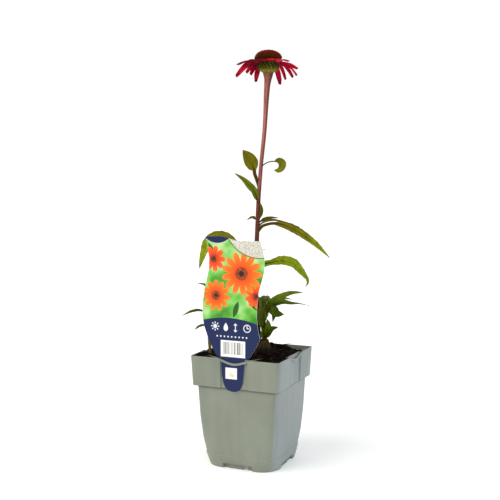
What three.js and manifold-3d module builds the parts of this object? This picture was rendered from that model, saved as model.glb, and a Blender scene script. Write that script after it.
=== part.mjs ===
// A coneflower in a square nursery pot: one flower on a tall leafy stem, two low side shoots, a few basal
// leaves, the soil they stand in, and a printed label hung in the slot of the pot's rim.
// Millimetres, +Z up. The origin is the middle of the pot's underside, and the label's side faces -Y.
import * as THREE from "three";
import { mergeVertices } from "three/addons/utils/BufferGeometryUtils.js";
import Module from "manifold-3d";

const wasm = await Module();
wasm.setup();

// ---------------------------------------------------------------- driving dimensions

const POT_HEIGHT = 132;
const WALL = 1.2; // the pot's moulded wall
const COLLAR_HEIGHT = 35; // the stepped-out band below the rim
const SOIL_LEVEL = 127.4;
const HEAD_BASE = 459.7; // underside of the flower head's green cup
const PLANT_TURN = 23.5; // degrees that the plant stands turned in its pot
const GAP = 0.3; // clearance between neighbours that touch
const BLADE_EDGE = 0.7; // thickness of a leaf or petal at its margin

const DEG = Math.PI / 180;
const UP = new THREE.Vector3(0, 0, 1);

const COLOURS = {
  pot: 0x93998b,
  soil: 0x2a1f18,
  crown: 0x6b4a2a,
  stem: 0x8d4f49,
  leaf: 0x5f6c14,
  young: 0x6f7d1c,
  cup: 0x56540f,
  cone: 0x5a1e0c,
  ray: 0xa01036,
  label: 0x263061,
};

// ---------------------------------------------------------------- solids and skins

// A closed three.js geometry as a solid, with the vertices that its faces share merged.
function solidOf(geometry) {
  const bare = geometry.clone();
  bare.deleteAttribute("normal");
  bare.deleteAttribute("uv");
  const merged = mergeVertices(bare, 1e-4);
  return new wasm.Manifold(
    new wasm.Mesh({
      numProp: 3,
      vertProperties: merged.attributes.position.array,
      triVerts: new Uint32Array(merged.index.array),
    }),
  );
}

// A solid as one named mesh of the part.
function meshOf(name, solid, colour, roughness) {
  const made = solid.getMesh();
  const geometry = new THREE.BufferGeometry()
    .setAttribute(
      "position",
      new THREE.BufferAttribute(new Float32Array(made.vertProperties), 3),
    )
    .setIndex(new THREE.BufferAttribute(new Uint32Array(made.triVerts), 1));
  geometry.computeVertexNormals();
  const material = new THREE.MeshStandardMaterial({
    color: colour,
    roughness,
    metalness: 0,
  });
  const mesh = new THREE.Mesh(geometry, material);
  mesh.name = name;
  return mesh;
}

function union(solids) {
  return solids.reduce((joined, next) => joined.add(next));
}

// A solid's largest body, without loose scraps and with sealed hollows filled.
function largest(solid) {
  const bodies = solid.decompose();
  return bodies.reduce((a, b) => (a.volume() > b.volume() ? a : b));
}

function box(low, high) {
  const size = high.map((v, i) => v - low[i]);
  const geometry = new THREE.BoxGeometry(...size).translate(
    ...high.map((v, i) => (v + low[i]) / 2),
  );
  return solidOf(geometry);
}

// An upright cylinder from one height to another.
function post(x, y, radius, low, high, sides = 12) {
  const geometry = new THREE.CylinderGeometry(radius, radius, high - low, sides)
    .rotateX(Math.PI / 2)
    .translate(x, y, (low + high) / 2);
  return solidOf(geometry);
}

function solidFrom(points, index) {
  const vertProperties = new Float32Array(
    points.flatMap((p) => [p.x, p.y, p.z]),
  );
  return new wasm.Manifold(
    new wasm.Mesh({
      numProp: 3,
      vertProperties,
      triVerts: new Uint32Array(index),
    }),
  );
}

// The solid inside a stack of convex rings, which turn anticlockwise about the way the stack runs.
function loft(rings) {
  const n = rings[0].length;
  const index = [];
  for (let i = 0; i < rings.length - 1; i++)
    for (let j = 0; j < n; j++) {
      const a = i * n + j;
      const b = i * n + ((j + 1) % n);
      index.push(a, b, b + n, a, b + n, a + n);
    }
  const last = (rings.length - 1) * n;
  for (let j = 1; j < n - 1; j++)
    index.push(0, j + 1, j, last, last + j, last + j + 1);
  return solidFrom(rings.flat(), index);
}

// The solid of a thin blade. Each row holds the points of its upper face and of its lower face, from one
// margin to the other. Both faces are split into triangles alike, so a waved blade keeps its thickness.
function blade(rows) {
  const m = rows[0].upper.length;
  const n = 2 * m;
  const index = [];
  for (let i = 0; i < rows.length - 1; i++)
    for (let k = 0; k < n; k++) {
      const a = i * n + k;
      const b = i * n + ((k + 1) % n);
      if (k < m) index.push(a, b, b + n, a, b + n, a + n);
      else index.push(a, b, a + n, b, b + n, a + n);
    }
  const last = (rows.length - 1) * n;
  for (let j = 0; j < m - 1; j++) {
    const [t, u, v, w] = [j, j + 1, n - 2 - j, n - 1 - j];
    index.push(t, v, u, t, w, v);
    index.push(last + t, last + u, last + v, last + t, last + v, last + w);
  }
  const points = rows.flatMap((r) => [...r.upper, ...[...r.lower].reverse()]);
  return solidFrom(points, index);
}

// A smooth curve through [x, y, z] points.
function curveThrough(points) {
  return new THREE.CatmullRomCurve3(
    points.map((p) => new THREE.Vector3(...p)),
    false,
    "centripetal",
  );
}

// A round stem along a curve; radii holds [share of the length, radius] pairs.
function stem(points, radii, sides = 8, steps = 18) {
  const curve = curveThrough(points);
  const even = Array.from({ length: steps + 1 }, (_, i) => i / steps);
  const shares = [...even, ...radii.map(([share]) => share)];
  const rings = [];
  for (const share of [...new Set(shares)].sort((a, b) => a - b)) {
    const at = curve.getPointAt(share);
    const along = curve.getTangentAt(share);
    const across = new THREE.Vector3(0, -1, 0).cross(along).normalize();
    const over = new THREE.Vector3().crossVectors(along, across);
    const radius = valueAt(radii, share);
    const ring = [];
    for (let j = 0; j < sides; j++) {
      const turn = (j / sides) * 2 * Math.PI;
      ring.push(
        at
          .clone()
          .addScaledVector(across, radius * Math.cos(turn))
          .addScaledVector(over, radius * Math.sin(turn)),
      );
    }
    rings.push(ring);
  }
  return loft(rings);
}

// Straight-line reading of a list of [place, value] pairs.
function valueAt(pairs, place) {
  const i = pairs.findIndex(([p]) => p >= place);
  if (i <= 0) return i === 0 ? pairs[0][1] : pairs[pairs.length - 1][1];
  const [[p0, v0], [p1, v1]] = [pairs[i - 1], pairs[i]];
  return v0 + ((v1 - v0) * (place - p0)) / (p1 - p0);
}

// A repeatable stream of numbers from 0 to 1.
function randomFrom(seed) {
  let state = seed;
  return () => {
    state = (state * 1664525 + 1013904223) % 4294967296;
    return state / 4294967296;
  };
}

// ---------------------------------------------------------------- pot

// Outer face of the pot's body: height, half width and corner radius. The corners open out towards the
// base, and a fine ledge runs round it above the feet.
const BODY = [
  [0, 44, 23],
  [6, 45.1, 21],
  [15, 46.5, 18.3],
  [15.8, 45.9, 18.1],
  [34, 47.9, 13.6],
  [60, 49.2, 9],
  [97, 50.3, 6],
  [POT_HEIGHT, 51.4, 5],
];
const COLLAR = [
  [POT_HEIGHT - COLLAR_HEIGHT, 54.3, 4.5],
  [POT_HEIGHT, 55.8, 4],
];
const FLOOR = 6; // the raised floor between the four feet
const CHANNEL = 11.5; // half width of the channels that cross under the floor
const NOTCH = 18.5; // half width of the opening in each side's foot
const NOTCH_DEPTH = 4;
const PAD = 11; // radius of the flat foot under the middle
const RECESS = 17; // half width of the label recess in each side of the collar
const PANEL = 52.6; // front of the recess's back panel
const DIP = 4.8; // how far the rim's front edge dips over each recess
const DIP_REACH = 23; // half width of that dip
const STRAP = { height: 2.7, back: 54, front: 55.5 }; // the strap that bridges each recess

const bodyHalf = (z) =>
  valueAt(
    BODY.map(([h, half]) => [h, half]),
    z,
  );
const bodyRadius = (z) =>
  valueAt(
    BODY.map(([h, , radius]) => [h, radius]),
    z,
  );
const collarHalf = (z) =>
  valueAt(
    COLLAR.map(([h, half]) => [h, half]),
    z,
  );

// The outline of a rounded square, anticlockwise from above, with extra points along its straight sides.
function roundedSquare(half, radius, z, steps = 3, extra = 0) {
  const corners = [];
  for (let corner = 0; corner < 4; corner++)
    for (let i = 0; i <= steps; i++) {
      const turn = (corner + i / steps) * (Math.PI / 2);
      const sx = corner === 0 || corner === 3 ? 1 : -1;
      const sy = corner < 2 ? 1 : -1;
      corners.push(
        new THREE.Vector3(
          sx * (half - radius) + radius * Math.cos(turn),
          sy * (half - radius) + radius * Math.sin(turn),
          z,
        ),
      );
    }
  return corners.flatMap((p, i) => {
    const next = corners[(i + 1) % corners.length];
    const cuts = i % (steps + 1) === steps ? extra : 0;
    return [
      p,
      ...Array.from({ length: cuts }, (_, j) =>
        p.clone().lerp(next, (j + 1) / (cuts + 1)),
      ),
    ];
  });
}

// The body's shape drawn in by an inset, between two heights.
function bodySolid(inset, low, high) {
  const between = BODY.map(([z]) => z).filter((z) => z > low && z < high);
  return loft(
    [low, ...between, high].map((z) =>
      roundedSquare(bodyHalf(z) - inset, bodyRadius(z) - inset / 2, z),
    ),
  );
}

// The collar's shape drawn in by an inset, between two heights.
function collarSolid(inset, low, high) {
  return loft(
    [low, high].map((z) =>
      roundedSquare(collarHalf(z) - inset, COLLAR[0][2] - inset, z),
    ),
  );
}

// The same job on each of the pot's four sides.
function onFourSides(solid) {
  return union([0, 90, 180, 270].map((turn) => solid.rotate([0, 0, turn])));
}

// The four blocks of air in front of the recess panels, grown by a margin.
function recesses(margin, low) {
  const half = RECESS + margin;
  return onFourSides(
    box([-half, -60, low], [half, margin - PANEL, POT_HEIGHT + 3]),
  );
}

// A slab across the -Y side under a curve that dips with the rim, from one depth to another. It reaches up
// past the rim, or as high as the dipped rim if it has a height of its own.
function dipSlab(halfWidth, height, back, front) {
  const steps = 10;
  const rimAt = (x) => {
    const wave = 0.5 + 0.5 * Math.cos((Math.PI * x) / DIP_REACH);
    return POT_HEIGHT - (Math.abs(x) < DIP_REACH ? DIP * wave : 0);
  };
  const xs = Array.from(
    { length: steps + 1 },
    (_, i) => halfWidth * ((2 * i) / steps - 1),
  );
  const shape = new THREE.Shape([
    ...xs.map((x) => new THREE.Vector2(x, rimAt(x) - (height ?? 0))),
    ...xs
      .reverse()
      .map((x) => new THREE.Vector2(x, height ? rimAt(x) : POT_HEIGHT + 2)),
  ]);
  const geometry = new THREE.ExtrudeGeometry(shape, {
    depth: front - back,
    bevelEnabled: false,
  })
    .rotateX(Math.PI / 2)
    .translate(0, -back, 0);
  return solidOf(geometry);
}

// The hollow of each foot, open to the pot's inside. The notches step its outer walls in.
function footHollows(clear) {
  const wall = WALL + clear;
  const top = FLOOR + WALL + 0.5;
  const start = CHANNEL + wall;
  const side = 45 - NOTCH_DEPTH - wall;
  const corner = box([start, start, wall], [60, 60, top])
    .subtract(box([0, side, 0], [NOTCH + wall, 60, top + 1]))
    .subtract(box([side, 0, 0], [60, NOTCH + wall, top + 1]));
  return onFourSides(corner).intersect(bodySolid(wall, wall, top));
}

function pot() {
  const low = POT_HEIGHT - COLLAR_HEIGHT;
  const outside = bodySolid(0, 0, POT_HEIGHT)
    .add(collarSolid(0, low, POT_HEIGHT))
    .subtract(recesses(0, low - 1));
  const inside = bodySolid(WALL, FLOOR + WALL, POT_HEIGHT + 1).add(
    collarSolid(WALL, low + WALL, POT_HEIGHT + 1).subtract(
      recesses(WALL, low),
    ),
  );
  const channel = box([-CHANNEL, -60, -1], [CHANNEL, 60, FLOOR]);
  const notch = box([-NOTCH, -60, -1], [NOTCH, NOTCH_DEPTH - 45, FLOOR]);
  const rib = box([-CHANNEL - 0.5, -42.2, 0], [6.5, -40.8, FLOOR + 0.5]);
  const drain = post(0, -26, 5, FLOOR - 1, FLOOR + 3);
  const strap = dipSlab(RECESS + 0.6, STRAP.height, STRAP.back, STRAP.front);
  const dip = dipSlab(DIP_REACH, null, STRAP.back - 0.8, 58);
  return outside
    .subtract(inside)
    .subtract(footHollows(0))
    .subtract(channel.add(channel.rotate([0, 0, 90])))
    .subtract(onFourSides(notch.add(drain)))
    .add(onFourSides(rib))
    .add(post(0, 0, PAD, 0, FLOOR + 0.5, 20))
    .subtract(onFourSides(dip))
    .add(onFourSides(strap));
}

// ---------------------------------------------------------------- soil

const SOIL_RINGS = [1, 0.9, 0.76, 0.61, 0.46, 0.31, 0.15];
const SOIL_LUMPS = 20;

// Rises and hollows of the soil's surface. It is heaped behind the plant and at its foot, with a ridge along
// the back and the -X side, and lowest in the +X +Y corner.
function soilHeight(x, y) {
  const heap = 2.4 * Math.exp(-((x + 8) ** 2 + (y - 22) ** 2) / 1500);
  const mound = 3.4 * Math.exp(-((x - 7.5) ** 2 + (y - 5) ** 2) / 260);
  const back = Math.exp(-(((y - 46) / 8) ** 2)) / (1 + Math.exp((x - 31) / 4));
  const left = 0.68 * Math.exp(-(((x + 52) / 9) ** 2));
  const ridge = 5.6 * Math.max(back, left);
  const low = 2.2 * Math.max(0, (x + y) / 100) ** 2;
  const wave = 0.7 * Math.sin(x * 0.21 + 1) * Math.cos(y * 0.17);
  return SOIL_LEVEL + heap + mound + ridge - low + wave;
}

// The soil fills the pot from its feet to just under the rim, and its surface is strewn with lumps.
function soil() {
  const clear = WALL + GAP;
  const random = randomFrom(7);
  const ledge = POT_HEIGHT - COLLAR_HEIGHT + clear;
  const edge = roundedSquare(collarHalf(ledge) - clear, 3.2, ledge, 2, 4);
  const top = roundedSquare(collarHalf(SOIL_LEVEL) - clear, 3.2, 0, 2, 4);
  const surface = SOIL_RINGS.map((share) =>
    top.map((p) => {
      const [x, y] = [p.x * share, p.y * share];
      const crumb = random() * 1.5 - 0.75;
      return new THREE.Vector3(x, y, soilHeight(x, y) + crumb);
    }),
  );
  const bed = bodySolid(clear, FLOOR + clear, ledge + 5)
    .add(loft([edge, ...surface]))
    .add(footHollows(GAP));
  const lumps = [];
  for (let i = 0; i < SOIL_LUMPS; i++) {
    const x = (random() * 2 - 1) * 46;
    const y = (random() * 2 - 1) * 46;
    const size = 2 + 2.4 * random() ** 2;
    const lump = new THREE.OctahedronGeometry(size, 0)
      .rotateX(0.6)
      .scale(1.5, 1, 0.8)
      .rotateZ(random() * Math.PI)
      .translate(x, y, soilHeight(x, y));
    lumps.push(solidOf(lump));
  }
  return largest(
    bed.add(union(lumps)).subtract(recesses(clear, ledge - 1)),
  );
}

// ---------------------------------------------------------------- leaves

const STALK = 1.3; // half width of a leaf's stalk

// A unit vector square to a line, as near as it can be to the way given.
function squareTo(along, way) {
  return way.clone().addScaledVector(along, -way.dot(along)).normalize();
}

// One leaf: a stalk that runs out into a folded, toothed blade. The path is the line of its midrib, stalk
// the share of it before the blade starts, and face the way that the blade's upper side looks. A leaf that
// curls right over has the line across it given instead. The wing is the half width of its stalk. A smaller
// peak brings the widest place nearer the stalk, and a larger point draws both ends out.
function leaf({
  path,
  width,
  stalk = 0.25,
  wing = STALK,
  peak = 0.8,
  point = 0.85,
  face = [0, 0, 1],
  across,
  fold = 18,
  steps = 10,
  teeth = 0.09,
  thick = 1.5,
}) {
  const curve = curveThrough(path);
  const shares = [0, stalk / 2, stalk * 0.93];
  for (let i = 1; i <= steps; i++)
    shares.push(stalk + (1 - stalk) * (i / steps));
  const rows = shares.map((share, i) => {
    const at = curve.getPointAt(share);
    const along = curve.getTangentAt(share);
    const side = across
      ? squareTo(along, new THREE.Vector3(...across))
      : new THREE.Vector3(...face).cross(along).negate().normalize();
    const normal = new THREE.Vector3().crossVectors(side, along);
    const out = Math.max(0, (share - stalk) / (1 - stalk));
    const tooth = i > 3 && i < shares.length - 2 ? teeth * (-1) ** i : 0;
    const swell = Math.max(0, Math.sin(Math.PI * out ** peak)) ** point;
    const half = Math.max(
      wing * (1 - out) + 0.3,
      (width / 2) * swell * (1 + tooth),
    );
    const open = DEG * fold * Math.min(1, out * 4);
    const middle = thick - (thick - 1) * out;
    const margin = out > 0 ? BLADE_EDGE : thick * 0.6;
    const place = (over, rise) =>
      at.clone().addScaledVector(side, over).addScaledVector(normal, rise);
    const skin = (sign) => [
      place(-half * Math.cos(open), half * Math.sin(open) + (sign * margin) / 2),
      place(0, (sign * middle) / 2),
      place(half * Math.cos(open), half * Math.sin(open) + (sign * margin) / 2),
    ];
    return { upper: skin(1), lower: skin(-1) };
  });
  return blade(rows);
}

// ---------------------------------------------------------------- flower stem

const STEM_PATH = [
  [7, 2.5, 112],
  [7, 2.5, 144],
  [5, 1, 180],
  [3.5, 0, 215],
  [4.1, 0, 250],
  [5.3, 0, 280],
  [6.6, 0, 312],
  [9.6, 0, 353],
  [13.6, 0, 394],
  [15.8, 0, 433],
  [16.7, 0, 446],
  [17.7, 0, 455],
  [17.8, 0, HEAD_BASE - GAP],
];
const STEM_RADII = [
  [0, 2.9],
  [0.5, 2.6],
  [0.7, 2.2],
  [0.86, 2.5],
  [0.93, 3.2],
  [0.96, 3.5],
  [0.98, 4.2],
  [1, 6],
];

// Leaves of the flower stem, from the top one down.
const STEM_LEAVES = [
  {
    path: [
      [11, 0, 352.4],
      [17.1, 1, 356.1],
      [22.4, 2, 357.4],
      [26.5, 3, 357.3],
      [29.5, 4, 355.9],
      [30.8, 5, 352.8],
      [29.3, 6, 349],
      [25.1, 7, 347],
    ],
    width: 18,
    stalk: 0.47,
    wing: 0.5,
    across: [0.1, -1, 0.1],
    fold: 66,
    teeth: 0.03,
  },
  {
    path: [
      [7.6, 0, 326],
      [6.1, 0, 331.4],
      [3.9, -3, 337.8],
      [2, -5, 343],
      [1.5, -7, 347.4],
      [-1.9, -9, 354.8],
      [-5.5, -10, 361],
      [-9.1, -11, 366.3],
      [-11.5, -12, 370.1],
    ],
    width: 17,
    stalk: 0.44,
    wing: 1.9,
    peak: 0.85,
    face: [0.15, -1, 0.2],
    fold: 22,
    teeth: 0.03,
  },
  {
    path: [
      [6.4, 0, 301],
      [6, -1, 307],
      [4.4, -3, 314.6],
      [1.3, -5, 322.5],
      [-4.2, -8, 328.6],
      [-10.6, -10, 335.7],
      [-21.1, -12, 343.4],
    ],
    width: 9,
    stalk: 0.2,
    peak: 0.62,
    face: [0.3, -1, 0.3],
    fold: 18,
    teeth: 0.05,
  },
  {
    path: [
      [5.6, 0, 284],
      [8.1, -3, 293.2],
      [9.8, -5, 300.9],
      [8.7, -6, 308.6],
    ],
    width: 5.5,
    stalk: 0.2,
    face: [0.5, -1, 0],
    fold: 30,
    steps: 7,
  },
  {
    path: [
      [5.4, 0, 287],
      [1.5, 4, 290.6],
      [-2.9, 7, 290.4],
      [-7.1, 9, 288],
    ],
    width: 5.4,
    stalk: 0.2,
    face: [-0.2, -0.6, 1],
    fold: 25,
    steps: 6,
  },
  {
    path: [
      [5.5, 0, 284.4],
      [11.9, 4, 288.2],
      [20.3, 8, 290.2],
      [30.5, 11, 290.6],
    ],
    width: 6.4,
    stalk: 0.15,
    face: [0, -0.5, 1],
    fold: 25,
    steps: 7,
  },
  {
    path: [
      [5.3, 0, 280],
      [11.2, -1, 285.2],
      [22.3, 0, 287.8],
      [36.3, 1, 287.2],
    ],
    width: 6.2,
    stalk: 0.15,
    face: [0, -0.4, 1],
    fold: 20,
    steps: 7,
  },
  {
    path: [
      [4.9, 0, 274],
      [10.6, -5, 281.2],
      [17.6, -8, 284],
      [24.6, -10, 285],
      [33.9, -12, 283.8],
      [45.4, -15, 279.1],
      [56.9, -18, 272.6],
      [66.1, -21, 266.1],
      [75.2, -23, 258.9],
      [89.2, -26, 245.6],
    ],
    width: 12.4,
    stalk: 0.24,
    wing: 1.9,
    peak: 0.66,
    face: [0.3, -0.75, 0.6],
    fold: 14,
    steps: 13,
  },
  {
    path: [
      [3.6, 0, 229],
      [5.5, 0, 233.8],
      [13.1, 1, 236.2],
      [22.6, 3, 238],
      [34.6, 6, 239.3],
      [43.1, 9, 237.6],
      [49.2, 11, 235],
      [55.3, 13, 228.6],
      [61.5, 15, 221.6],
      [65.9, 17, 215.6],
      [65.9, 18, 210.2],
      [63, 19, 206.4],
    ],
    width: 14.8,
    stalk: 0.14,
    wing: 4,
    peak: 0.85,
    point: 1.15,
    face: [0.3, -0.75, 0.65],
    fold: 16,
    steps: 14,
  },
  {
    path: [
      [3.7, 0, 250],
      [-5.3, -2, 253.6],
      [-12.9, -4, 258.2],
      [-22.3, -7, 263.8],
      [-31.6, -10, 268.4],
      [-40.8, -13, 269.6],
      [-48.9, -16, 266.4],
      [-53.4, -18, 261],
      [-56.2, -20, 253],
      [-58.6, -21, 245.9],
      [-60.7, -22, 239.4],
      [-62.4, -22, 233],
    ],
    width: 15,
    stalk: 0.24,
    face: [-0.35, -0.8, 0.6],
    fold: 14,
    steps: 14,
  },
  {
    path: [
      [3.6, 0, 244],
      [9, -1, 251],
      [15.4, -2, 254.6],
    ],
    width: 4.4,
    steps: 5,
  },
  {
    path: [
      [3.6, 0, 218],
      [2, 9, 232],
      [-3, 22, 239],
      [-10, 38, 234],
      [-15, 50, 220],
    ],
    width: 16,
    stalk: 0.22,
    steps: 9,
  },
];

function flowerStem() {
  return union([stem(STEM_PATH, STEM_RADII), ...STEM_LEAVES.map(leaf)]);
}

// ---------------------------------------------------------------- flower head

const HEAD_X = 17.8; // the head stands upright on the stem's end
const CUP_TOP = 472.3;
const RING_TOP = 474; // upper face of the ring that carries the rays
const CONE_HEIGHT = 11.2;
const CONE_RADIUS = 14.8;
const FLORETS = 89;
const GOLDEN_TURN = 137.508 * DEG;

// A lathed solid about the head's axis, from [radius, height] points that start and end on the axis.
function headLathe(profile, sides) {
  const points = profile.map(([r, z]) => new THREE.Vector2(r, z));
  const geometry = new THREE.LatheGeometry(points, sides)
    .rotateX(Math.PI / 2)
    .translate(HEAD_X, 0, 0);
  return solidOf(geometry);
}

// A pointed scale or floret: a slim pyramid that stands along a direction, its root sunk in what bears it.
function spike(at, direction, width, length, sunk, sides) {
  const turn = new THREE.Quaternion().setFromUnitVectors(
    new THREE.Vector3(0, 1, 0),
    direction,
  );
  const geometry = new THREE.ConeGeometry(width, length + sunk, sides, 1)
    .translate(0, (length + sunk) / 2 - sunk, 0)
    .applyQuaternion(turn)
    .translate(at.x, at.y, at.z);
  return solidOf(geometry);
}

// The green cup under the rays, with rows of narrow bracts that point out and curl down.
function cup() {
  const body = headLathe(
    [
      [0, HEAD_BASE],
      [5.9, HEAD_BASE],
      [8.8, HEAD_BASE + 2],
      [11.2, HEAD_BASE + 4.6],
      [12.5, HEAD_BASE + 8],
      [12.7, CUP_TOP],
      [0, CUP_TOP],
    ],
    18,
  );
  const rows = [
    { count: 12, radius: 7.6, z: HEAD_BASE + 2.9, lean: 24, length: 3.2 },
    { count: 15, radius: 9.4, z: HEAD_BASE + 3.2, lean: 24, length: 3.6 },
    { count: 17, radius: 11.4, z: HEAD_BASE + 5.8, lean: 14, length: 3 },
    { count: 17, radius: 12.2, z: HEAD_BASE + 9.2, lean: 6, length: 2.2 },
  ];
  const bracts = rows.flatMap(({ count, radius, z, lean, length }, row) =>
    Array.from({ length: count }, (_, i) => {
      const turn = ((i + row * 0.5) / count) * 2 * Math.PI;
      const out = new THREE.Vector3(Math.cos(turn), Math.sin(turn), 0);
      const at = out.clone().multiplyScalar(radius).setZ(z);
      at.x += HEAD_X;
      const way = out.multiplyScalar(Math.cos(lean * DEG));
      return spike(at, way.setZ(Math.sin(lean * DEG)), 1.6, length, 2, 4);
    }),
  );
  return union([body, ...bracts]);
}

// The brown dome, covered in stiff pointed florets along the two families of spirals.
function cone() {
  const arc = [];
  for (let i = 0; i <= 7; i++) {
    const turn = (i / 7) * (Math.PI / 2);
    arc.push([
      CONE_RADIUS * Math.cos(turn),
      RING_TOP + GAP + 1.2 + (CONE_HEIGHT - 1.2) * Math.sin(turn),
    ]);
  }
  arc[arc.length - 1][0] = 0;
  const dome = headLathe(
    [
      [0, CUP_TOP + GAP],
      [6.4, CUP_TOP + GAP],
      [6.4, RING_TOP + GAP],
      [CONE_RADIUS - 0.6, RING_TOP + GAP],
      ...arc,
    ],
    20,
  );
  const florets = [];
  for (let i = 0; i < FLORETS; i++) {
    const share = (i + 0.5) / FLORETS;
    const fall = Math.acos(1 - share * 0.93); // from the top of the dome
    const turn = i * GOLDEN_TURN;
    const out = new THREE.Vector3(
      Math.sin(fall) * Math.cos(turn),
      Math.sin(fall) * Math.sin(turn),
      Math.cos(fall),
    );
    const at = new THREE.Vector3(
      HEAD_X + out.x * CONE_RADIUS,
      out.y * CONE_RADIUS,
      RING_TOP + GAP + 1.2 + out.z * (CONE_HEIGHT - 1.2),
    );
    const way = out.clone().setZ(out.z + 0.45).normalize();
    florets.push(spike(at, way, 1.25, 1.9, 1.4, 4));
  }
  return union([dome, ...florets]);
}

// Each ray: its bearing in degrees, how far its tip reaches from the head's axis, how far the tip hangs
// below its root, how much it rises first, its width, and the degrees that it is rolled at the tip.
const RAYS = [
  [0, 34, 16, 0, 6.2, -36],
  [20, 32, 16.8, 0, 6.4, 46],
  [40, 28.5, 18.6, 0, 5.6, 40],
  [62, 32.5, 23.5, 0, 8, -14],
  [80, 36, 4, 1, 6.4, 0],
  [97, 37, 5, 1, 6.6, 8],
  [114, 36, 5, 1, 6.4, 0],
  [131, 23.5, 21.5, 0, 8.6, 10],
  [148, 25.5, 13.5, 0, 8, -30],
  [165, 27.5, 12, 0, 7.5, -40],
  [186, 38.5, 17.2, 1, 10, 60],
  [205, 40.5, 6.2, 3, 7, 15],
  [223, 36, 6.4, 4, 8.4, 24],
  [241, 33, 5.5, 4, 9, 10],
  [259, 32, 4.4, 4, 9, 4],
  [277, 31, 3.4, 4, 9, -2],
  [295, 33, 5, 4, 9, -10],
  [315, 33.5, 3.2, 2.5, 6, -12],
  [338, 37, 10.2, -5, 7.6, -32],
];
const RAY_ROOT = 11.5;
const RAY_STEPS = 5;
const RAY_SWELL = [
  [0, 0.62],
  [0.33, 0.92],
  [0.67, 1],
  [0.84, 0.88],
  [1, 0.35],
];

// A strap-shaped ray with two long grooves and a notched tip.
function ray([bearing, reach, drop, rise, width, roll]) {
  const turn = bearing * DEG;
  const out = new THREE.Vector3(Math.cos(turn), Math.sin(turn), 0);
  const level = new THREE.Vector3().crossVectors(out, UP);
  const root = new THREE.Vector3(HEAD_X, 0, (CUP_TOP + GAP + RING_TOP) / 2);
  const columns = [
    { across: -1, lift: -0.5, ends: -1.6 },
    { across: -0.5, lift: 0.25, ends: 0 },
    { across: 0, lift: -0.1, ends: -1.3 },
    { across: 0.5, lift: 0.25, ends: -0.2 },
    { across: 1, lift: -0.5, ends: -1.8 },
  ];
  const rows = [];
  for (let i = 0; i <= RAY_STEPS; i++) {
    const share = i / RAY_STEPS;
    const lean = DEG * roll * Math.min(1, share * 1.6);
    const half = (valueAt(RAY_SWELL, share) * width) / 2;
    const fall = (drop + rise) * share ** 2 - rise * share;
    const skin = (sign) =>
      columns.map(({ across, lift, ends }) => {
        const r = RAY_ROOT + (reach - RAY_ROOT) * share + ends * share ** 4;
        const side = across * half * Math.cos(lean);
        const up = across * half * Math.sin(lean) + lift * share;
        return root
          .clone()
          .addScaledVector(out, r)
          .addScaledVector(level, side)
          .addScaledVector(UP, up - fall + (sign * BLADE_EDGE) / 2);
      });
    rows.push({ upper: skin(1), lower: skin(-1) });
  }
  return blade(rows);
}

function rays() {
  const plate = headLathe(
    [
      [0, CUP_TOP + GAP],
      [14.3, CUP_TOP + GAP],
      [14.3, RING_TOP],
      [0, RING_TOP],
    ],
    24,
  );
  const bore = post(HEAD_X, 0, 6.4 + GAP + 0.2, CUP_TOP, RING_TOP + 1, 24);
  return union([plate, ...RAYS.map(ray)]).subtract(bore);
}

// ---------------------------------------------------------------- side shoots and basal leaves

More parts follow.
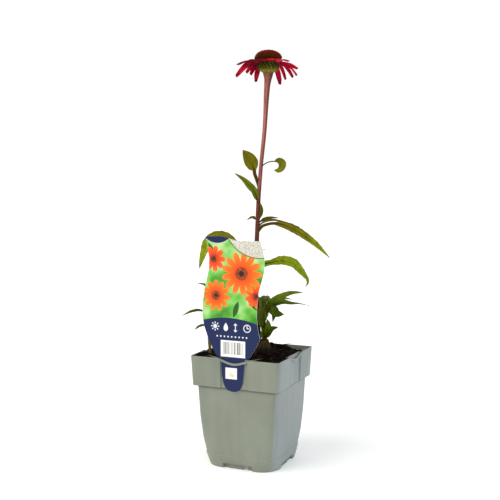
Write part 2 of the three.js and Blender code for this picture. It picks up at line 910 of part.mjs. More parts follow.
// The right-hand shoot: a short stem with a green bud and a fan of leaves.
const RIGHT_SHOOT = {
  path: [
    [14, -1.5, 112],
    [14, -1.5, 142],
    [13.6, -2, 150],
    [13.1, -3, 165],
    [12.7, -5, 182],
    [12.8, -6, 191.4],
  ],
  radii: [
    [0, 2.1],
    [0.6, 1.8],
    [0.9, 1.8],
    [1, 2.6],
  ],
  leaves: [
    {
      path: [
        [12.6, -4.6, 178],
        [14.5, -5, 184.8],
        [18.1, -8, 189.5],
        [24.6, -10, 194.5],
        [33.7, -12, 198.8],
        [42.3, -13, 202.1],
        [49.3, -14, 203.7],
        [58.4, -15, 204],
      ],
      width: 9.4,
      stalk: 0.16,
      face: [0, -0.6, 0.8],
      steps: 8,
    },
    {
      path: [
        [12.6, -4, 172],
        [14.7, -4, 179.7],
        [21.1, -1, 185.7],
        [28, 2, 188.7],
        [36.6, 5, 189.6],
        [45.3, 7, 188.1],
        [55.6, 8, 187.7],
        [67.7, 10, 185.2],
      ],
      width: 12.6,
      stalk: 0.12,
      peak: 0.5,
      point: 1.7,
      face: [0, -0.5, 0.9],
      steps: 9,
    },
    {
      path: [
        [12.6, -4.2, 175],
        [15.1, -4, 182.3],
        [22.7, -4, 190.8],
        [30.4, -2, 194.8],
        [38.1, 0, 195.2],
        [46.3, 2, 193.6],
      ],
      width: 7,
      stalk: 0.2,
      peak: 0.65,
      face: [0, -0.4, 1],
      steps: 7,
    },
    {
      path: [
        [12.6, -4.4, 175],
        [15.5, -5.4, 183],
        [20.2, -7, 185.8],
        [23.9, -10, 182.3],
        [28, -13, 178.8],
        [36.2, -15, 178.2],
      ],
      width: 12,
      stalk: 0.36,
      peak: 0.7,
      face: [0, -0.9, 0.4],
      fold: 16,
      steps: 7,
      teeth: 0.05,
    },
    {
      path: [
        [12.7, -4.6, 178.9],
        [16.2, -6, 186.1],
        [20.8, -8, 187.6],
        [24, -10, 183.8],
        [24.7, -11, 176.9],
        [23.4, -11, 168.8],
      ],
      width: 6.6,
      stalk: 0.3,
      face: [0.2, -1, 0.2],
      fold: 20,
      steps: 6,
      teeth: 0.05,
    },
    {
      path: [
        [13.4, -2.2, 150],
        [10.9, -8, 159.8],
        [9, -11, 170.6],
        [7.9, -12, 178.4],
        [7.5, -12, 187],
      ],
      width: 8,
      stalk: 0.34,
      face: [0.4, -1, 0.2],
      steps: 8,
    },
    {
      path: [
        [13.3, -2.6, 152],
        [14.5, -6, 160.5],
        [12.1, -9, 171.1],
        [11.4, -9, 178.9],
        [13.1, -8, 187.1],
      ],
      width: 5.6,
      stalk: 0.3,
      face: [0.1, -1, 0.1],
      steps: 7,
    },
    {
      path: [
        [13.7, -1.8, 146],
        [15.3, -6, 152.6],
        [17.2, -10, 160],
        [17.8, -11, 165.6],
        [16.6, -11, 171.9],
      ],
      width: 8.6,
      stalk: 0.16,
      peak: 1,
      face: [0.4, -0.8, 0.3],
      steps: 7,
    },
    {
      path: [
        [13.7, -1.8, 146.6],
        [12.6, -7, 152],
        [13.4, -10, 157.6],
        [15.1, -12, 163],
      ],
      width: 9,
      stalk: 0.16,
      face: [0.1, -1, 0.2],
      steps: 7,
    },
    {
      path: [
        [13.8, -1.6, 145],
        [16.4, -6, 150.2],
        [19.3, -9, 156.3],
        [22.7, -11, 160.3],
        [29.4, -13, 162.7],
      ],
      width: 8,
      stalk: 0.2,
      face: [0, -0.9, 0.5],
      fold: 22,
      steps: 7,
    },
    {
      path: [
        [12.9, -2.8, 169.6],
        [14.7, 2, 177.2],
        [18, 7, 183.7],
        [22.3, 12, 189.1],
      ],
      width: 9,
      stalk: 0.25,
      steps: 6,
    },
  ],
};

const BUD_RADIUS = 4;

// The left-hand shoot stands alone near the rim.
const LEFT_SHOOT = {
  path: [
    [-51, -3, 112],
    [-51.2, -3, 134],
    [-52.1, -2, 144],
    [-52.7, 1, 158],
    [-53.2, 4, 174.5],
    [-52.9, 6, 188.7],
    [-52.6, 6, 198],
  ],
  radii: [
    [0, 1.9],
    [0.6, 1.6],
    [1, 1.2],
  ],
  leaves: [
    {
      path: [
        [-53.1, 4, 173],
        [-55.4, 2, 178],
        [-60.6, -1, 180.4],
        [-67, -4, 181.1],
        [-73.4, -6, 179.9],
        [-78, -8, 178.4],
        [-83.6, -9, 175.9],
      ],
      width: 5,
      stalk: 0.2,
      face: [0, -0.5, 1],
      steps: 9,
    },
    {
      path: [
        [-52.7, 1, 157],
        [-55.5, 0, 161.7],
        [-58.9, -1, 162.9],
        [-63.6, -2, 161.8],
        [-69.5, -3, 158.2],
      ],
      width: 4.5,
      stalk: 0.25,
      face: [0, -0.5, 1],
      steps: 8,
    },
    {
      path: [
        [-52.6, 6, 196.5],
        [-53.8, 7, 205.4],
        [-57.5, 9, 210],
        [-61.8, 11, 211.2],
        [-66.1, 12, 211.8],
      ],
      width: 4.5,
      stalk: 0.3,
      face: [0, -0.4, 1],
      steps: 8,
    },
    {
      path: [
        [-53, 2.6, 167],
        [-51, 12, 181],
        [-53, 25, 188],
        [-58, 38, 183],
      ],
      width: 12,
      stalk: 0.25,
      steps: 9,
    },
    {
      path: [
        [-52.9, 6, 186],
        [-47, 3, 199],
        [-38, 0, 207],
        [-25, -2, 209],
      ],
      width: 12,
      stalk: 0.25,
      face: [0, -0.3, 1],
      steps: 9,
    },
  ],
};

// A round stem with its leaves fused on.
function shoot({ path, radii, leaves }) {
  return union([stem(path, radii, 7, 10), ...leaves.map(leaf)]);
}

// The bud at the right-hand shoot's tip: a button of florets in a ring of green bracts.
function rightShoot() {
  const tip = new THREE.Vector3(...RIGHT_SHOOT.path.at(-1));
  const dome = new THREE.SphereGeometry(BUD_RADIUS, 9, 6)
    .rotateX(Math.PI / 2)
    .translate(tip.x, tip.y, tip.z + BUD_RADIUS);
  const bracts = Array.from({ length: 8 }, (_, i) => {
    const turn = (i / 8) * 2 * Math.PI;
    const out = new THREE.Vector3(Math.cos(turn), Math.sin(turn), 0);
    const at = tip.clone().addScaledVector(out, 2.6);
    at.z += 1.6;
    const way = out.multiplyScalar(0.8).setZ(0.75).normalize();
    return spike(at, way, 1.4, 4.2, 1.2, 3);
  });
  return union([shoot(RIGHT_SHOOT), solidOf(dome), ...bracts]);
}

// Long-stalked leaves that rise from the soil round the crown.
const BASAL_LEAVES = [
  {
    path: [
      [-1, 13, 112],
      [-1, 13, 138],
      [-5, 20, 172],
      [-15, 34, 198],
      [-28, 50, 204],
      [-42, 64, 193],
    ],
    width: 21,
    stalk: 0.42,
    steps: 12,
  },
  {
    path: [
      [12, 15, 112],
      [12, 15, 138],
      [12, 22, 166],
      [12, 37, 187],
      [10, 54, 189],
      [8, 70, 176],
    ],
    width: 20,
    stalk: 0.42,
    steps: 12,
  },
  {
    path: [
      [-6, 3, 112],
      [-6, 3, 138],
      [-10, 2, 166],
      [-20, 0, 186],
      [-33, -3, 192],
      [-44, -6, 184],
    ],
    width: 19,
    stalk: 0.42,
    face: [0, -0.2, 1],
    steps: 12,
  },
  {
    path: [
      [2, -11, 112],
      [2, -11, 138],
      [-1, -13, 168],
      [-9, -17, 198],
      [-20, -21, 220],
      [-33, -24, 225],
    ],
    width: 18,
    stalk: 0.42,
    face: [0, -0.4, 1],
    steps: 12,
  },
];

// ---------------------------------------------------------------- crown

const CROWN = { x: 10, y: 1.5, foot: 112 };
// Height, radius and how far the ring stands towards +X.
const CROWN_RINGS = [
  [CROWN.foot, 5.5, 0],
  [SOIL_LEVEL - 4, 9.6, 0],
  [SOIL_LEVEL + 3, 10.2, 0.4],
  [SOIL_LEVEL + 8, 8.4, 1.4],
  [SOIL_LEVEL + 12, 6.6, 2.4],
  [SOIL_LEVEL + 15.6, 5.2, 3.2],
  [SOIL_LEVEL + 18.6, 3.8, 3.8],
];

// The woody crown at soil level, ribbed by old stalks and the tops of its roots, grown by a margin.
function crown(margin) {
  const rings = CROWN_RINGS.map(([z, radius, lean], level) => {
    const ring = [];
    for (let i = 0; i < 16; i++) {
      const turn = ((i + level * 0.3) / 16) * 2 * Math.PI;
      const rib = (i % 2 ? 1 : 0.88) * (1 + 0.07 * Math.sin(3 * turn));
      const r = radius * rib + margin;
      ring.push(
        new THREE.Vector3(
          CROWN.x + lean + r * 1.1 * Math.cos(turn),
          CROWN.y + r * Math.sin(turn),
          level ? z : z - margin,
        ),
      );
    }
    return ring;
  });
  return loft(rings);
}

// Plain upright holes for every stem and stalk that stands in the crown or the soil.
function stemHoles() {
  const holes = [
    [STEM_PATH[0], STEM_RADII[0][1]],
    [RIGHT_SHOOT.path[0], RIGHT_SHOOT.radii[0][1]],
    [LEFT_SHOOT.path[0], LEFT_SHOOT.radii[0][1]],
    ...BASAL_LEAVES.map(({ path }) => [path[0], STALK + 0.3]),
  ];
  return union(
    holes.map(([[x, y, z], radius]) =>
      post(x, y, radius + 0.4, z - GAP, z + 34),
    ),
  );
}

// ---------------------------------------------------------------- label

// Height, left edge and right edge of the label, from the tongue's tip to the top.
const LABEL_EDGES = [
  [94, -3.4, 0.6],
  [95, -8, 5],
  [98.5, -11.5, 8.6],
  [104, -14, 10.8],
  [112, -15.4, 11.8],
  [132.2, -16.4, 13.2],
  [134, -22.2, 18.8],
  [142, -27.2, 23.8],
  [156.5, -34, 31.8],
  [168, -38.4, 29.2],
  [181, -40.6, 27.7],
  [196, -40, 28.2],
  [212, -37.8, 30.3],
  [223, -35, 33.5],
  [234, -32.2, 36.3],
  [247, -32, 36.6],
  [258, -34.6, 34.4],
  [270, -37.2, 31],
];
// Height of the label's wavy top edge from left to right.
const LABEL_TOP = [
  [-37, 270.8],
  [-18, 271.8],
  [-9, 270.2],
  [2, 267.3],
  [31, 267.1],
];
const LABEL_Y = 53.3; // the label's middle, between the strap and the panel
const LABEL_THICK = 0.6;

// A thin printed card whose tongue hangs behind the rim's strap. It bows a little above the rim.
function label() {
  const rows = LABEL_EDGES.map(([z, left, right]) => {
    const free = Math.max(0, z - POT_HEIGHT) / 140;
    const skin = (sign) =>
      [0, 0.25, 0.5, 0.75, 1].map((share) => {
        const x = left + (right - left) * share;
        const bow = free * (0.0012 * x * x + free);
        const wave = (valueAt(LABEL_TOP, x) - 270) * Math.max(0, (z - 247) / 23);
        const y = bow - LABEL_Y - (sign * LABEL_THICK) / 2;
        return new THREE.Vector3(x, y, z + wave);
      });
    return { upper: skin(1), lower: skin(-1) };
  });
  return blade(rows);
}

// ---------------------------------------------------------------- assembly

const turned = (solid) => solid.rotate([0, 0, PLANT_TURN]);
const holes = stemHoles();
const bed = largest(soil().subtract(turned(crown(GAP))).subtract(turned(holes)));

const plant = new THREE.Group();
plant.rotation.z = PLANT_TURN * DEG;
plant.add(
  meshOf("crown", largest(crown(0).subtract(holes)), COLOURS.crown, 0.9),
  meshOf("flower_stem", flowerStem(), COLOURS.stem, 0.6),
  meshOf("flower_cup", cup(), COLOURS.cup, 0.7),
  meshOf("flower_cone", cone(), COLOURS.cone, 0.6),
  meshOf("flower_rays", rays(), COLOURS.ray, 0.55),
  meshOf("right_shoot", rightShoot(), COLOURS.leaf, 0.55),
  meshOf("left_shoot", shoot(LEFT_SHOOT), COLOURS.young, 0.55),
);
BASAL_LEAVES.forEach((spec, i) =>
  plant.add(meshOf(`basal_leaf_${i + 1}`, leaf(spec), COLOURS.leaf, 0.55)),
);

const group = new THREE.Group();
group.add(
  meshOf("pot", pot(), COLOURS.pot, 0.5),
  meshOf("soil", bed, COLOURS.soil, 0.95),
  meshOf("plant_label", label(), COLOURS.label, 0.35),
  plant,
);

export default group;
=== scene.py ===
import math
import random
from contextlib import contextmanager

import bpy
from mathutils import Matrix, Vector, noise


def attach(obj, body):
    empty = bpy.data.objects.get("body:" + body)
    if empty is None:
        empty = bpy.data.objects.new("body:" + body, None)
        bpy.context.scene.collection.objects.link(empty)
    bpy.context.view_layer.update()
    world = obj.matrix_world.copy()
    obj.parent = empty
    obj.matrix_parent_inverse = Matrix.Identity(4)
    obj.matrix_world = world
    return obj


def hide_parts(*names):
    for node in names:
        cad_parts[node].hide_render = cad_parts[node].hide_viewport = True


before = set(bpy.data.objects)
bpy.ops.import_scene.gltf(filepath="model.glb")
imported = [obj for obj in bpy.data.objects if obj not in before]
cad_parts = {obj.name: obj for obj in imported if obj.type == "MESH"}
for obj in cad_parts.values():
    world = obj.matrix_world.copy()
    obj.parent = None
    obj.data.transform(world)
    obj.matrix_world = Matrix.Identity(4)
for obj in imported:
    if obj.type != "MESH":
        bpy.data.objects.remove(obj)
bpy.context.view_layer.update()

MM = 0.001

# ---------------------------------------------------------------- the pot
# A square nursery pot, one moulding of grey-green polypropylene. Its collar is stepped out from the
# body, with a recess in each side where a label hangs behind a strap, and its four corner feet leave
# channels for drainage between them.

POT_HEIGHT = 132
WALL = 1.2
COLLAR_FOOT = 97
BODY_LEVELS = [  # height, half width, corner radius
    (0, 44, 23),
    (6, 45.1, 21),
    (15, 46.5, 18.3),
    (15.8, 45.9, 18.1),
    (34, 47.9, 13.6),
    (60, 49.2, 9),
    (97, 50.3, 6),
    (POT_HEIGHT, 51.4, 5),
]
COLLAR_LEVELS = [(COLLAR_FOOT, 54.3, 4.5), (POT_HEIGHT, 55.8, 4)]
FLOOR = 6  # height of the raised floor between the feet
CHANNEL = 11.5  # half width of the channels that cross under it
NOTCH = 18.5  # half width of the opening in each side's foot
NOTCH_DEPTH = 4
FOOT_HALF = 45  # half width of the body above its feet
DRAIN_RADIUS, DRAIN_OUT = 5, 26
RIB_FRONT, RIB_BACK, RIB_END = -42.2, -40.8, 6.5  # a rib that half closes each channel's mouth
PAD_RADIUS = 11
RECESS = 17
PANEL = 52.6  # distance of a recess's back panel from the middle
DIP = 4.8  # how far the rim's front edge dips over a recess
DIP_REACH = 23
STRAP_HEIGHT, STRAP_BACK, STRAP_FRONT = 2.7, 54, 55.5
STRAP_ROOT = 0.6  # how far the strap's ends run into the collar
DIP_BACK, DIP_FRONT = STRAP_BACK - 0.8, 58  # where the dip's cut begins and ends
RIM_ROUNDING = 0.35
OVERLAP = 0.5  # how far pieces that are welded reach into each other
OUTSIDE = 60  # well clear of the pot's sides, for the tools that cut it


def pick_up(shape, **where):
    """Adds a primitive with nothing else selected, and returns it."""
    bpy.ops.object.select_all(action="DESELECT")
    getattr(bpy.ops.mesh, f"primitive_{shape}_add")(**where)
    return bpy.context.active_object


def take(piece):
    """Makes a piece the only one selected, and active."""
    bpy.ops.object.select_all(action="DESELECT")
    piece.select_set(True)
    bpy.context.view_layer.objects.active = piece


def put_down(piece):
    """Leaves a finished piece at the origin, with its place in its mesh."""
    take(piece)
    bpy.ops.object.transform_apply(location=True, rotation=True, scale=True)
    return piece


@contextmanager
def editing():
    """Edit mode on the active piece, with all of it selected."""
    bpy.ops.object.mode_set(mode="EDIT")
    bpy.ops.mesh.select_all(action="SELECT")
    yield
    bpy.ops.object.mode_set(mode="OBJECT")


def face_outwards():
    bpy.ops.mesh.select_all(action="SELECT")
    bpy.ops.mesh.normals_make_consistent(inside=False)


def smooth(angle):
    """Shades the active piece smooth over edges of up to so many degrees."""
    bpy.ops.object.shade_smooth_by_angle(angle=math.radians(angle))


def apply_modifier(piece, kind, **settings):
    take(piece)
    modifier = piece.modifiers.new(kind.lower(), kind)
    for key, value in settings.items():
        setattr(modifier, key, value)
    bpy.ops.object.modifier_apply(modifier=modifier.name)


def work(operation, piece, tool):
    """Cuts a tool out of a piece, or welds it on, and throws the tool away."""
    apply_modifier(piece, "BOOLEAN", operation=operation, solver="EXACT", object=tool)
    bpy.data.objects.remove(tool)


def cut(piece, tool):
    work("DIFFERENCE", piece, tool)


def weld(piece, tool):
    work("UNION", piece, tool)


def gather(pieces, name):
    """Joins pieces into the first of them."""
    bpy.ops.object.select_all(action="DESELECT")
    for piece in pieces:
        piece.select_set(True)
    bpy.context.view_layer.objects.active = pieces[0]
    if len(pieces) > 1:
        bpy.ops.object.join()
    pieces[0].name = name
    return pieces[0]


def block(low, high):
    """A plain block between two corners, in millimetres."""
    made = pick_up("cube", size=1, location=[(a + b) / 2 * MM for a, b in zip(low, high)])
    made.scale = [(b - a) * MM for a, b in zip(low, high)]
    return put_down(made)


def peg(sides, radius, y, low, high):
    """A plain upright peg on the Y axis, between two heights, in millimetres."""
    size = {"vertices": sides, "radius": radius * MM, "depth": (high - low) * MM}
    return put_down(pick_up("cylinder", location=(0, y * MM, (low + high) / 2 * MM), **size))


def lofted(levels, add_ring, **bridging):
    """A closed solid: a ring at each level, bridged one to the next, with its ends filled."""
    made = pick_up("plane", size=1)
    with editing():
        bpy.ops.mesh.delete(type="VERT")
        for level in levels:
            bpy.ops.mesh.select_all(action="DESELECT")
            add_ring(*level)
        bpy.ops.mesh.select_all(action="SELECT")
        bpy.ops.mesh.delete(type="ONLY_FACE")
        bpy.ops.mesh.select_all(action="SELECT")
        bpy.ops.mesh.bridge_edge_loops(**bridging)
        bpy.ops.mesh.select_all(action="SELECT")
        bpy.ops.mesh.fill_holes(sides=0)
        face_outwards()
    return made


def rounded_square(height, half, radius):
    bpy.ops.mesh.primitive_plane_add(size=2 * half * MM, location=(0, 0, height * MM))
    bpy.ops.mesh.bevel(offset=radius * MM, segments=8, affect="VERTICES")


def level_at(levels, height):
    """Half width and corner radius of a stack of levels at a height."""
    for low, high in zip(levels, levels[1:]):
        if height <= high[0]:
            share = max(0, (height - low[0]) / (high[0] - low[0]))
            return [a + (b - a) * share for a, b in zip(low[1:], high[1:])]
    return levels[-1][1:]


def stack_between(levels, inset, low, high):
    """The part of a stack between two heights, drawn in by an inset."""
    heights = [low, *[z for z, *_ in levels if low < z < high], high]
    drawn = []
    for z in heights:
        half, radius = level_at(levels, z)
        drawn.append((z, half - inset, max(1, radius - inset)))
    return lofted(drawn, rounded_square)


def on_four_sides(tool):
    """The same tool at each of the pot's four sides."""
    tools = [tool]
    for quarter in (1, 2, 3):
        copy = tool.copy()
        copy.data = tool.data.copy()
        copy.data.transform(Matrix.Rotation(quarter * math.pi / 2, 4, "Z"))
        bpy.context.collection.objects.link(copy)
        tools.append(copy)
    return gather(tools, "tool")


def rim_dip(x):
    """How far the rim's edge hangs below its corners, at a distance from a side's middle."""
    return DIP * (0.5 + 0.5 * math.cos(math.pi * x / DIP_REACH)) if abs(x) < DIP_REACH else 0


def dipped_slab(half, depth, back, front):
    """A slab under, or with no depth of its own over, the dipping edge of the -Y side."""
    upright = (math.pi / 2, 0, 0)
    slab = put_down(pick_up("grid", x_subdivisions=24, y_subdivisions=1, size=1, rotation=upright))
    for vertex in slab.data.vertices:
        x = vertex.co.x * 2 * half
        edge = POT_HEIGHT - rim_dip(x)
        upper = edge if depth else POT_HEIGHT + 2
        vertex.co = Vector((x, -back, upper if vertex.co.z > 0 else edge - depth)) * MM
    with editing():
        bpy.ops.mesh.extrude_region_move(TRANSFORM_OT_translate={"value": (0, (back - front) * MM, 0)})
        face_outwards()
    return slab


def recess_blocks(margin, low):
    half = RECESS + margin
    return on_four_sides(block((-half, -OUTSIDE, low), (half, margin - PANEL, POT_HEIGHT + 3)))


def foot_hollows():
    """The hollow of each corner foot, open to the pot's inside."""
    start = CHANNEL + WALL
    side = FOOT_HALF - NOTCH_DEPTH - WALL
    top = FLOOR + WALL + OVERLAP
    corner = block((start, start, WALL), (OUTSIDE, OUTSIDE, top))
    cut(corner, block((0, side, 0), (NOTCH + WALL, OUTSIDE + 1, top + 1)))
    cut(corner, block((side, 0, 0), (OUTSIDE + 1, NOTCH + WALL, top + 1)))
    hollows = on_four_sides(corner)
    work("INTERSECT", hollows, stack_between(BODY_LEVELS, WALL, WALL, top))
    return hollows


def moulded_pot():
    shell = stack_between(BODY_LEVELS, 0, 0, POT_HEIGHT)
    weld(shell, stack_between(COLLAR_LEVELS, 0, COLLAR_FOOT, POT_HEIGHT))
    cut(shell, recess_blocks(0, COLLAR_FOOT - 1))
    inside = stack_between(BODY_LEVELS, WALL, FLOOR + WALL, POT_HEIGHT + 1)
    bulge = stack_between(COLLAR_LEVELS, WALL, COLLAR_FOOT + WALL, POT_HEIGHT + 1)
    cut(bulge, recess_blocks(WALL, COLLAR_FOOT))
    weld(inside, bulge)
    cut(shell, inside)
    cut(shell, foot_hollows())
    cut(shell, block((-CHANNEL, -OUTSIDE, -1), (CHANNEL, OUTSIDE, FLOOR)))
    cut(shell, block((-OUTSIDE, -CHANNEL, -1), (OUTSIDE, CHANNEL, FLOOR)))
    cut(shell, on_four_sides(block((-NOTCH, -OUTSIDE, -1), (NOTCH, NOTCH_DEPTH - FOOT_HALF, FLOOR))))
    cut(shell, on_four_sides(peg(32, DRAIN_RADIUS, -DRAIN_OUT, FLOOR - 3, FLOOR + 3)))
    rib = block((-CHANNEL - OVERLAP, RIB_FRONT, 0), (RIB_END, RIB_BACK, FLOOR + OVERLAP))
    weld(shell, on_four_sides(rib))
    weld(shell, peg(40, PAD_RADIUS, 0, 0, FLOOR + OVERLAP))
    cut(shell, on_four_sides(dipped_slab(DIP_REACH, 0, DIP_BACK, DIP_FRONT)))
    weld(shell, on_four_sides(dipped_slab(RECESS + STRAP_ROOT, STRAP_HEIGHT, STRAP_BACK, STRAP_FRONT)))
    return shell


def soften_edges(piece):
    """Rounds a moulding's sharp edges and shades it smooth between them."""
    apply_modifier(
        piece, "BEVEL", width=RIM_ROUNDING * MM, segments=2, limit_method="ANGLE",
        angle_limit=math.radians(40), use_clamp_overlap=False, harden_normals=False,
    )
    smooth(30)


def tint(red, green, blue):
    """A colour given as 0-255 screen values, as the shader wants it."""
    linear = [((v / 255 + 0.055) / 1.055) ** 2.4 if v > 10 else v / 3295 for v in (red, green, blue)]
    return (*linear, 1)


class Pattern:
    """A number or colour that varies over a surface. Plain arithmetic on it lays out Math nodes."""

    def __init__(self, socket):
        self.socket = socket

    def math(self, operation, *others):
        return node("Math", dict(enumerate((self, *others))), operation=operation)

    def __add__(self, other):
        return self.math("ADD", other)

    def __sub__(self, other):
        return self.math("SUBTRACT", other)

    def __rsub__(self, other):
        return self.math("MULTIPLY_ADD", -1.0, other)

    def __mul__(self, other):
        return self.math("MULTIPLY", other)

    def __truediv__(self, other):
        return self.math("DIVIDE", other)

    def __pow__(self, other):
        return self.math("POWER", other)

    def __abs__(self):
        return self.math("ABSOLUTE")


def node(kind, inputs, output=0, **settings):
    """What one output of a new node gives. Its inputs are set to values or joined to patterns."""
    tree = next(value.socket.id_data for value in inputs.values() if isinstance(value, Pattern))
    made = tree.nodes.new("ShaderNode" + kind)
    for key, value in settings.items():
        setattr(made, key, value)
    for key, value in inputs.items():
        if isinstance(value, Pattern):
            tree.links.new(value.socket, made.inputs[key])
        else:
            made.inputs[key].default_value = value
    return Pattern(made.outputs[output])


def new_finish(name, roughness, specular=0.5):
    """A named material, with the values that are alike all over it, and the place that its patterns read."""
    made = bpy.data.materials.new(name)
    made.use_nodes = True
    shader = made.node_tree.nodes["Principled BSDF"]
    shader.inputs["Roughness"].default_value = roughness
    shader.inputs["Specular IOR Level"].default_value = specular
    return made, Pattern(made.node_tree.nodes.new("ShaderNodeTexCoord").outputs["Object"])


def surfaced(made, colour, height, depth, roughness=None):
    """Gives a finish its colour, and raises it in the light by a pattern, so many millimetres deep."""
    shader = made.node_tree.nodes["Principled BSDF"]
    bump = node("Bump", {"Height": height, "Distance": depth * MM, "Strength": 1.0})
    made.node_tree.links.new(colour.socket, shader.inputs["Base Color"])
    made.node_tree.links.new(bump.socket, shader.inputs["Normal"])
    if roughness:
        made.node_tree.links.new(roughness.socket, shader.inputs["Roughness"])
    return made


def axes_of(place):
    """How far a place lies along X, Y and Z."""
    return [node("SeparateXYZ", {"Vector": place}, axis) for axis in range(3)]


def stretched(place, scale):
    """The same place, drawn out or pressed together along each axis."""
    return node("Mapping", {"Vector": place, "Scale": scale})


def cloud(place, scale, detail, roughness=0.5):
    """A soft random pattern from 0 to 1; the scale is in patches a metre."""
    return node("TexNoise", {"Vector": place, "Scale": scale, "Detail": detail, "Roughness": roughness})


def fade(value, start, end, top=1.0):
    """0 up to the start of a range, rising evenly to the top at its end; the end may be the lower."""
    return node("MapRange", {"Value": value, "From Min": start, "From Max": end, "To Max": top})


def steps_of(value, *stops):
    """Colours or greys read off along a value: each stop is a place and a colour."""
    made = node("ValToRGB", {"Fac": value})
    slots = made.socket.node.color_ramp.elements
    while len(slots) < len(stops):
        slots.new(0.5)
    for slot, (place, colour) in zip(slots, stops):
        slot.position = place
        slot.color = colour if isinstance(colour, tuple) else (colour, colour, colour, 1)
    return made


def mixed(share, first, second, blend="MIX"):
    """Two colours mixed by a share from 0 to 1."""
    return node("Mix", {0: share, 6: first, 7: second}, 2, data_type="RGBA", blend_type=blend)


def pot_plastic():
    """Grey-green plastic with a fine matt grain and flow marks down its sides, painted lighter and bluer on
    its
    +X side as painted light from a cool lamp, with painted shadow under its collar, dirt and painted shade
    in the notches under its floor, and dust at its feet."""
    made, place = new_finish("pot_plastic", 0.5, 0.3)
    x, y, z = axes_of(place)
    patches = cloud(place, 22, 3)
    # Two copies of the plastic's colour: the +X side gets the lighter, bluer one, painted light standing in
    # for a cool lamp on that side.
    base_plastic = steps_of(patches, (0.3, tint(122, 127, 112)), (0.7, tint(131, 136, 122)))
    painted_light_side = steps_of(patches, (0.3, tint(129, 138, 136)), (0.7, tint(139, 148, 147)))
    colour = mixed(fade(x - abs(y), -1 * MM, 1 * MM), base_plastic, painted_light_side)
    flow = cloud(stretched(place, (1, 1, 0.12)), 90, 4)
    colour = mixed(steps_of(flow, (0.45, 0.0), (0.75, 0.3)), colour, tint(108, 114, 100))
    # Painted shadow: a dark band on the body just under the collar's overhang, where its shade falls.
    painted_collar_shadow = fade(z, (COLLAR_FOOT - 3.5) * MM, COLLAR_FOOT * MM, 0.75)
    painted_collar_shadow = painted_collar_shadow * z.math("LESS_THAN", (COLLAR_FOOT + 0.4) * MM)
    colour = mixed(painted_collar_shadow, colour, tint(52, 56, 46))
    # Darker inside the notches under the floor: partly dirt, partly painted shade in these recesses.
    far, near = (abs(x).math(choice, abs(y)) for choice in ("MAXIMUM", "MINIMUM"))
    hollow = fade(z, (FLOOR + 2) * MM, FLOOR * MM)
    hollow = hollow * fade(far, (FOOT_HALF - 1.8) * MM, (FOOT_HALF - 2.5) * MM)
    hollow = hollow * fade(near, (NOTCH + 1) * MM, (NOTCH + 0.5) * MM)
    colour = mixed(hollow, colour, tint(116, 121, 108))
    specks = steps_of(cloud(place, 900, 2), (0.62, 0.0), (0.7, 1.0))
    colour = mixed(specks * fade(z, 30 * MM, 0.0), colour, tint(88, 82, 68))
    matt = steps_of(patches, (0.3, 0.42), (0.7, 0.56))
    return surfaced(made, colour, cloud(place, 2600, 2), 0.02, matt)


pot = moulded_pot()
soften_edges(pot)
pot.name = "pot_moulding"
pot.data.materials.clear()
pot.data.materials.append(pot_plastic())
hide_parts("pot")
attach(pot, "root")

# ---------------------------------------------------------------- the soil
# Damp dark potting compost of peat and bark, filled to just under the rim and heaped towards the
# plant. It is one block with a crumbly top, strewn with loose crumbs, bark chips and fine fibres.

SOIL_LEVEL = 127.4
SOIL_CLEARANCE = 0.3
SOIL_CORNER = 3.2
SOIL_CELLS = 132
CRUMBS, CHIPS, FIBRES = 1500, 120, 170
STREWN = 52.6  # how far from the pot's middle loose bits lie


def bent_grid(columns, rows, place):
    """A grid whose corners go where place(u, v) says, in millimetres; u and v run from 0 to 1."""
    made = pick_up("grid", x_subdivisions=columns, y_subdivisions=rows, size=2)
    for vertex in made.data.vertices:
        vertex.co = place((vertex.co.x + 1) / 2, (vertex.co.y + 1) / 2) * MM
    return made


def soil_height(x, y):
    """The soil's rises and hollows: heaped behind the plant and at its foot, with a ridge along the back
    and the -X side, and low in the far corner."""
    heap = 2.4 * math.exp(-((x + 8) ** 2 + (y - 22) ** 2) / 1500)
    mound = 3.4 * math.exp(-((x - 7.5) ** 2 + (y - 5) ** 2) / 260)
    back = math.exp(-(((y - 46) / 8) ** 2)) / (1 + math.exp((x - 31) / 4))
    left = 0.68 * math.exp(-(((x + 52) / 9) ** 2))
    ridge = 5.6 * max(back, left)
    low = 2.2 * max(0, (x + y) / 100) ** 2
    wave = 0.7 * math.sin(x * 0.21 + 1) * math.cos(y * 0.17)
    return SOIL_LEVEL + heap + mound + ridge - low + wave


def crumbly(x, y):
    """The soil's height with its clods and crumbs."""
    clods = noise.fractal(Vector((x / 9, y / 9, 4)), 0.8, 2.1, 3)
    crumbs = noise.fractal(Vector((x / 2.6, y / 2.6, 9)), 0.7, 2.3, 3)
    return soil_height(x, y) + 0.9 * clods + 0.75 * crumbs


def inside_pot(x, y, half):
    """A place on the soil moved in from the pot's rounded corners and from its recess panels."""
    straight = half - SOIL_CORNER
    over_x, over_y = abs(x) - straight, abs(y) - straight
    if over_x > 0 and over_y > 0:
        pull = max(over_x, over_y) / math.hypot(over_x, over_y)
        x = math.copysign(straight + over_x * pull, x)
        y = math.copysign(straight + over_y * pull, y)
    panel = PANEL - WALL - SOIL_CLEARANCE
    if abs(x) < RECESS + 2:
        y = max(-panel, min(panel, y))
    if abs(y) < RECESS + 2:
        x = max(-panel, min(panel, x))
    return x, y


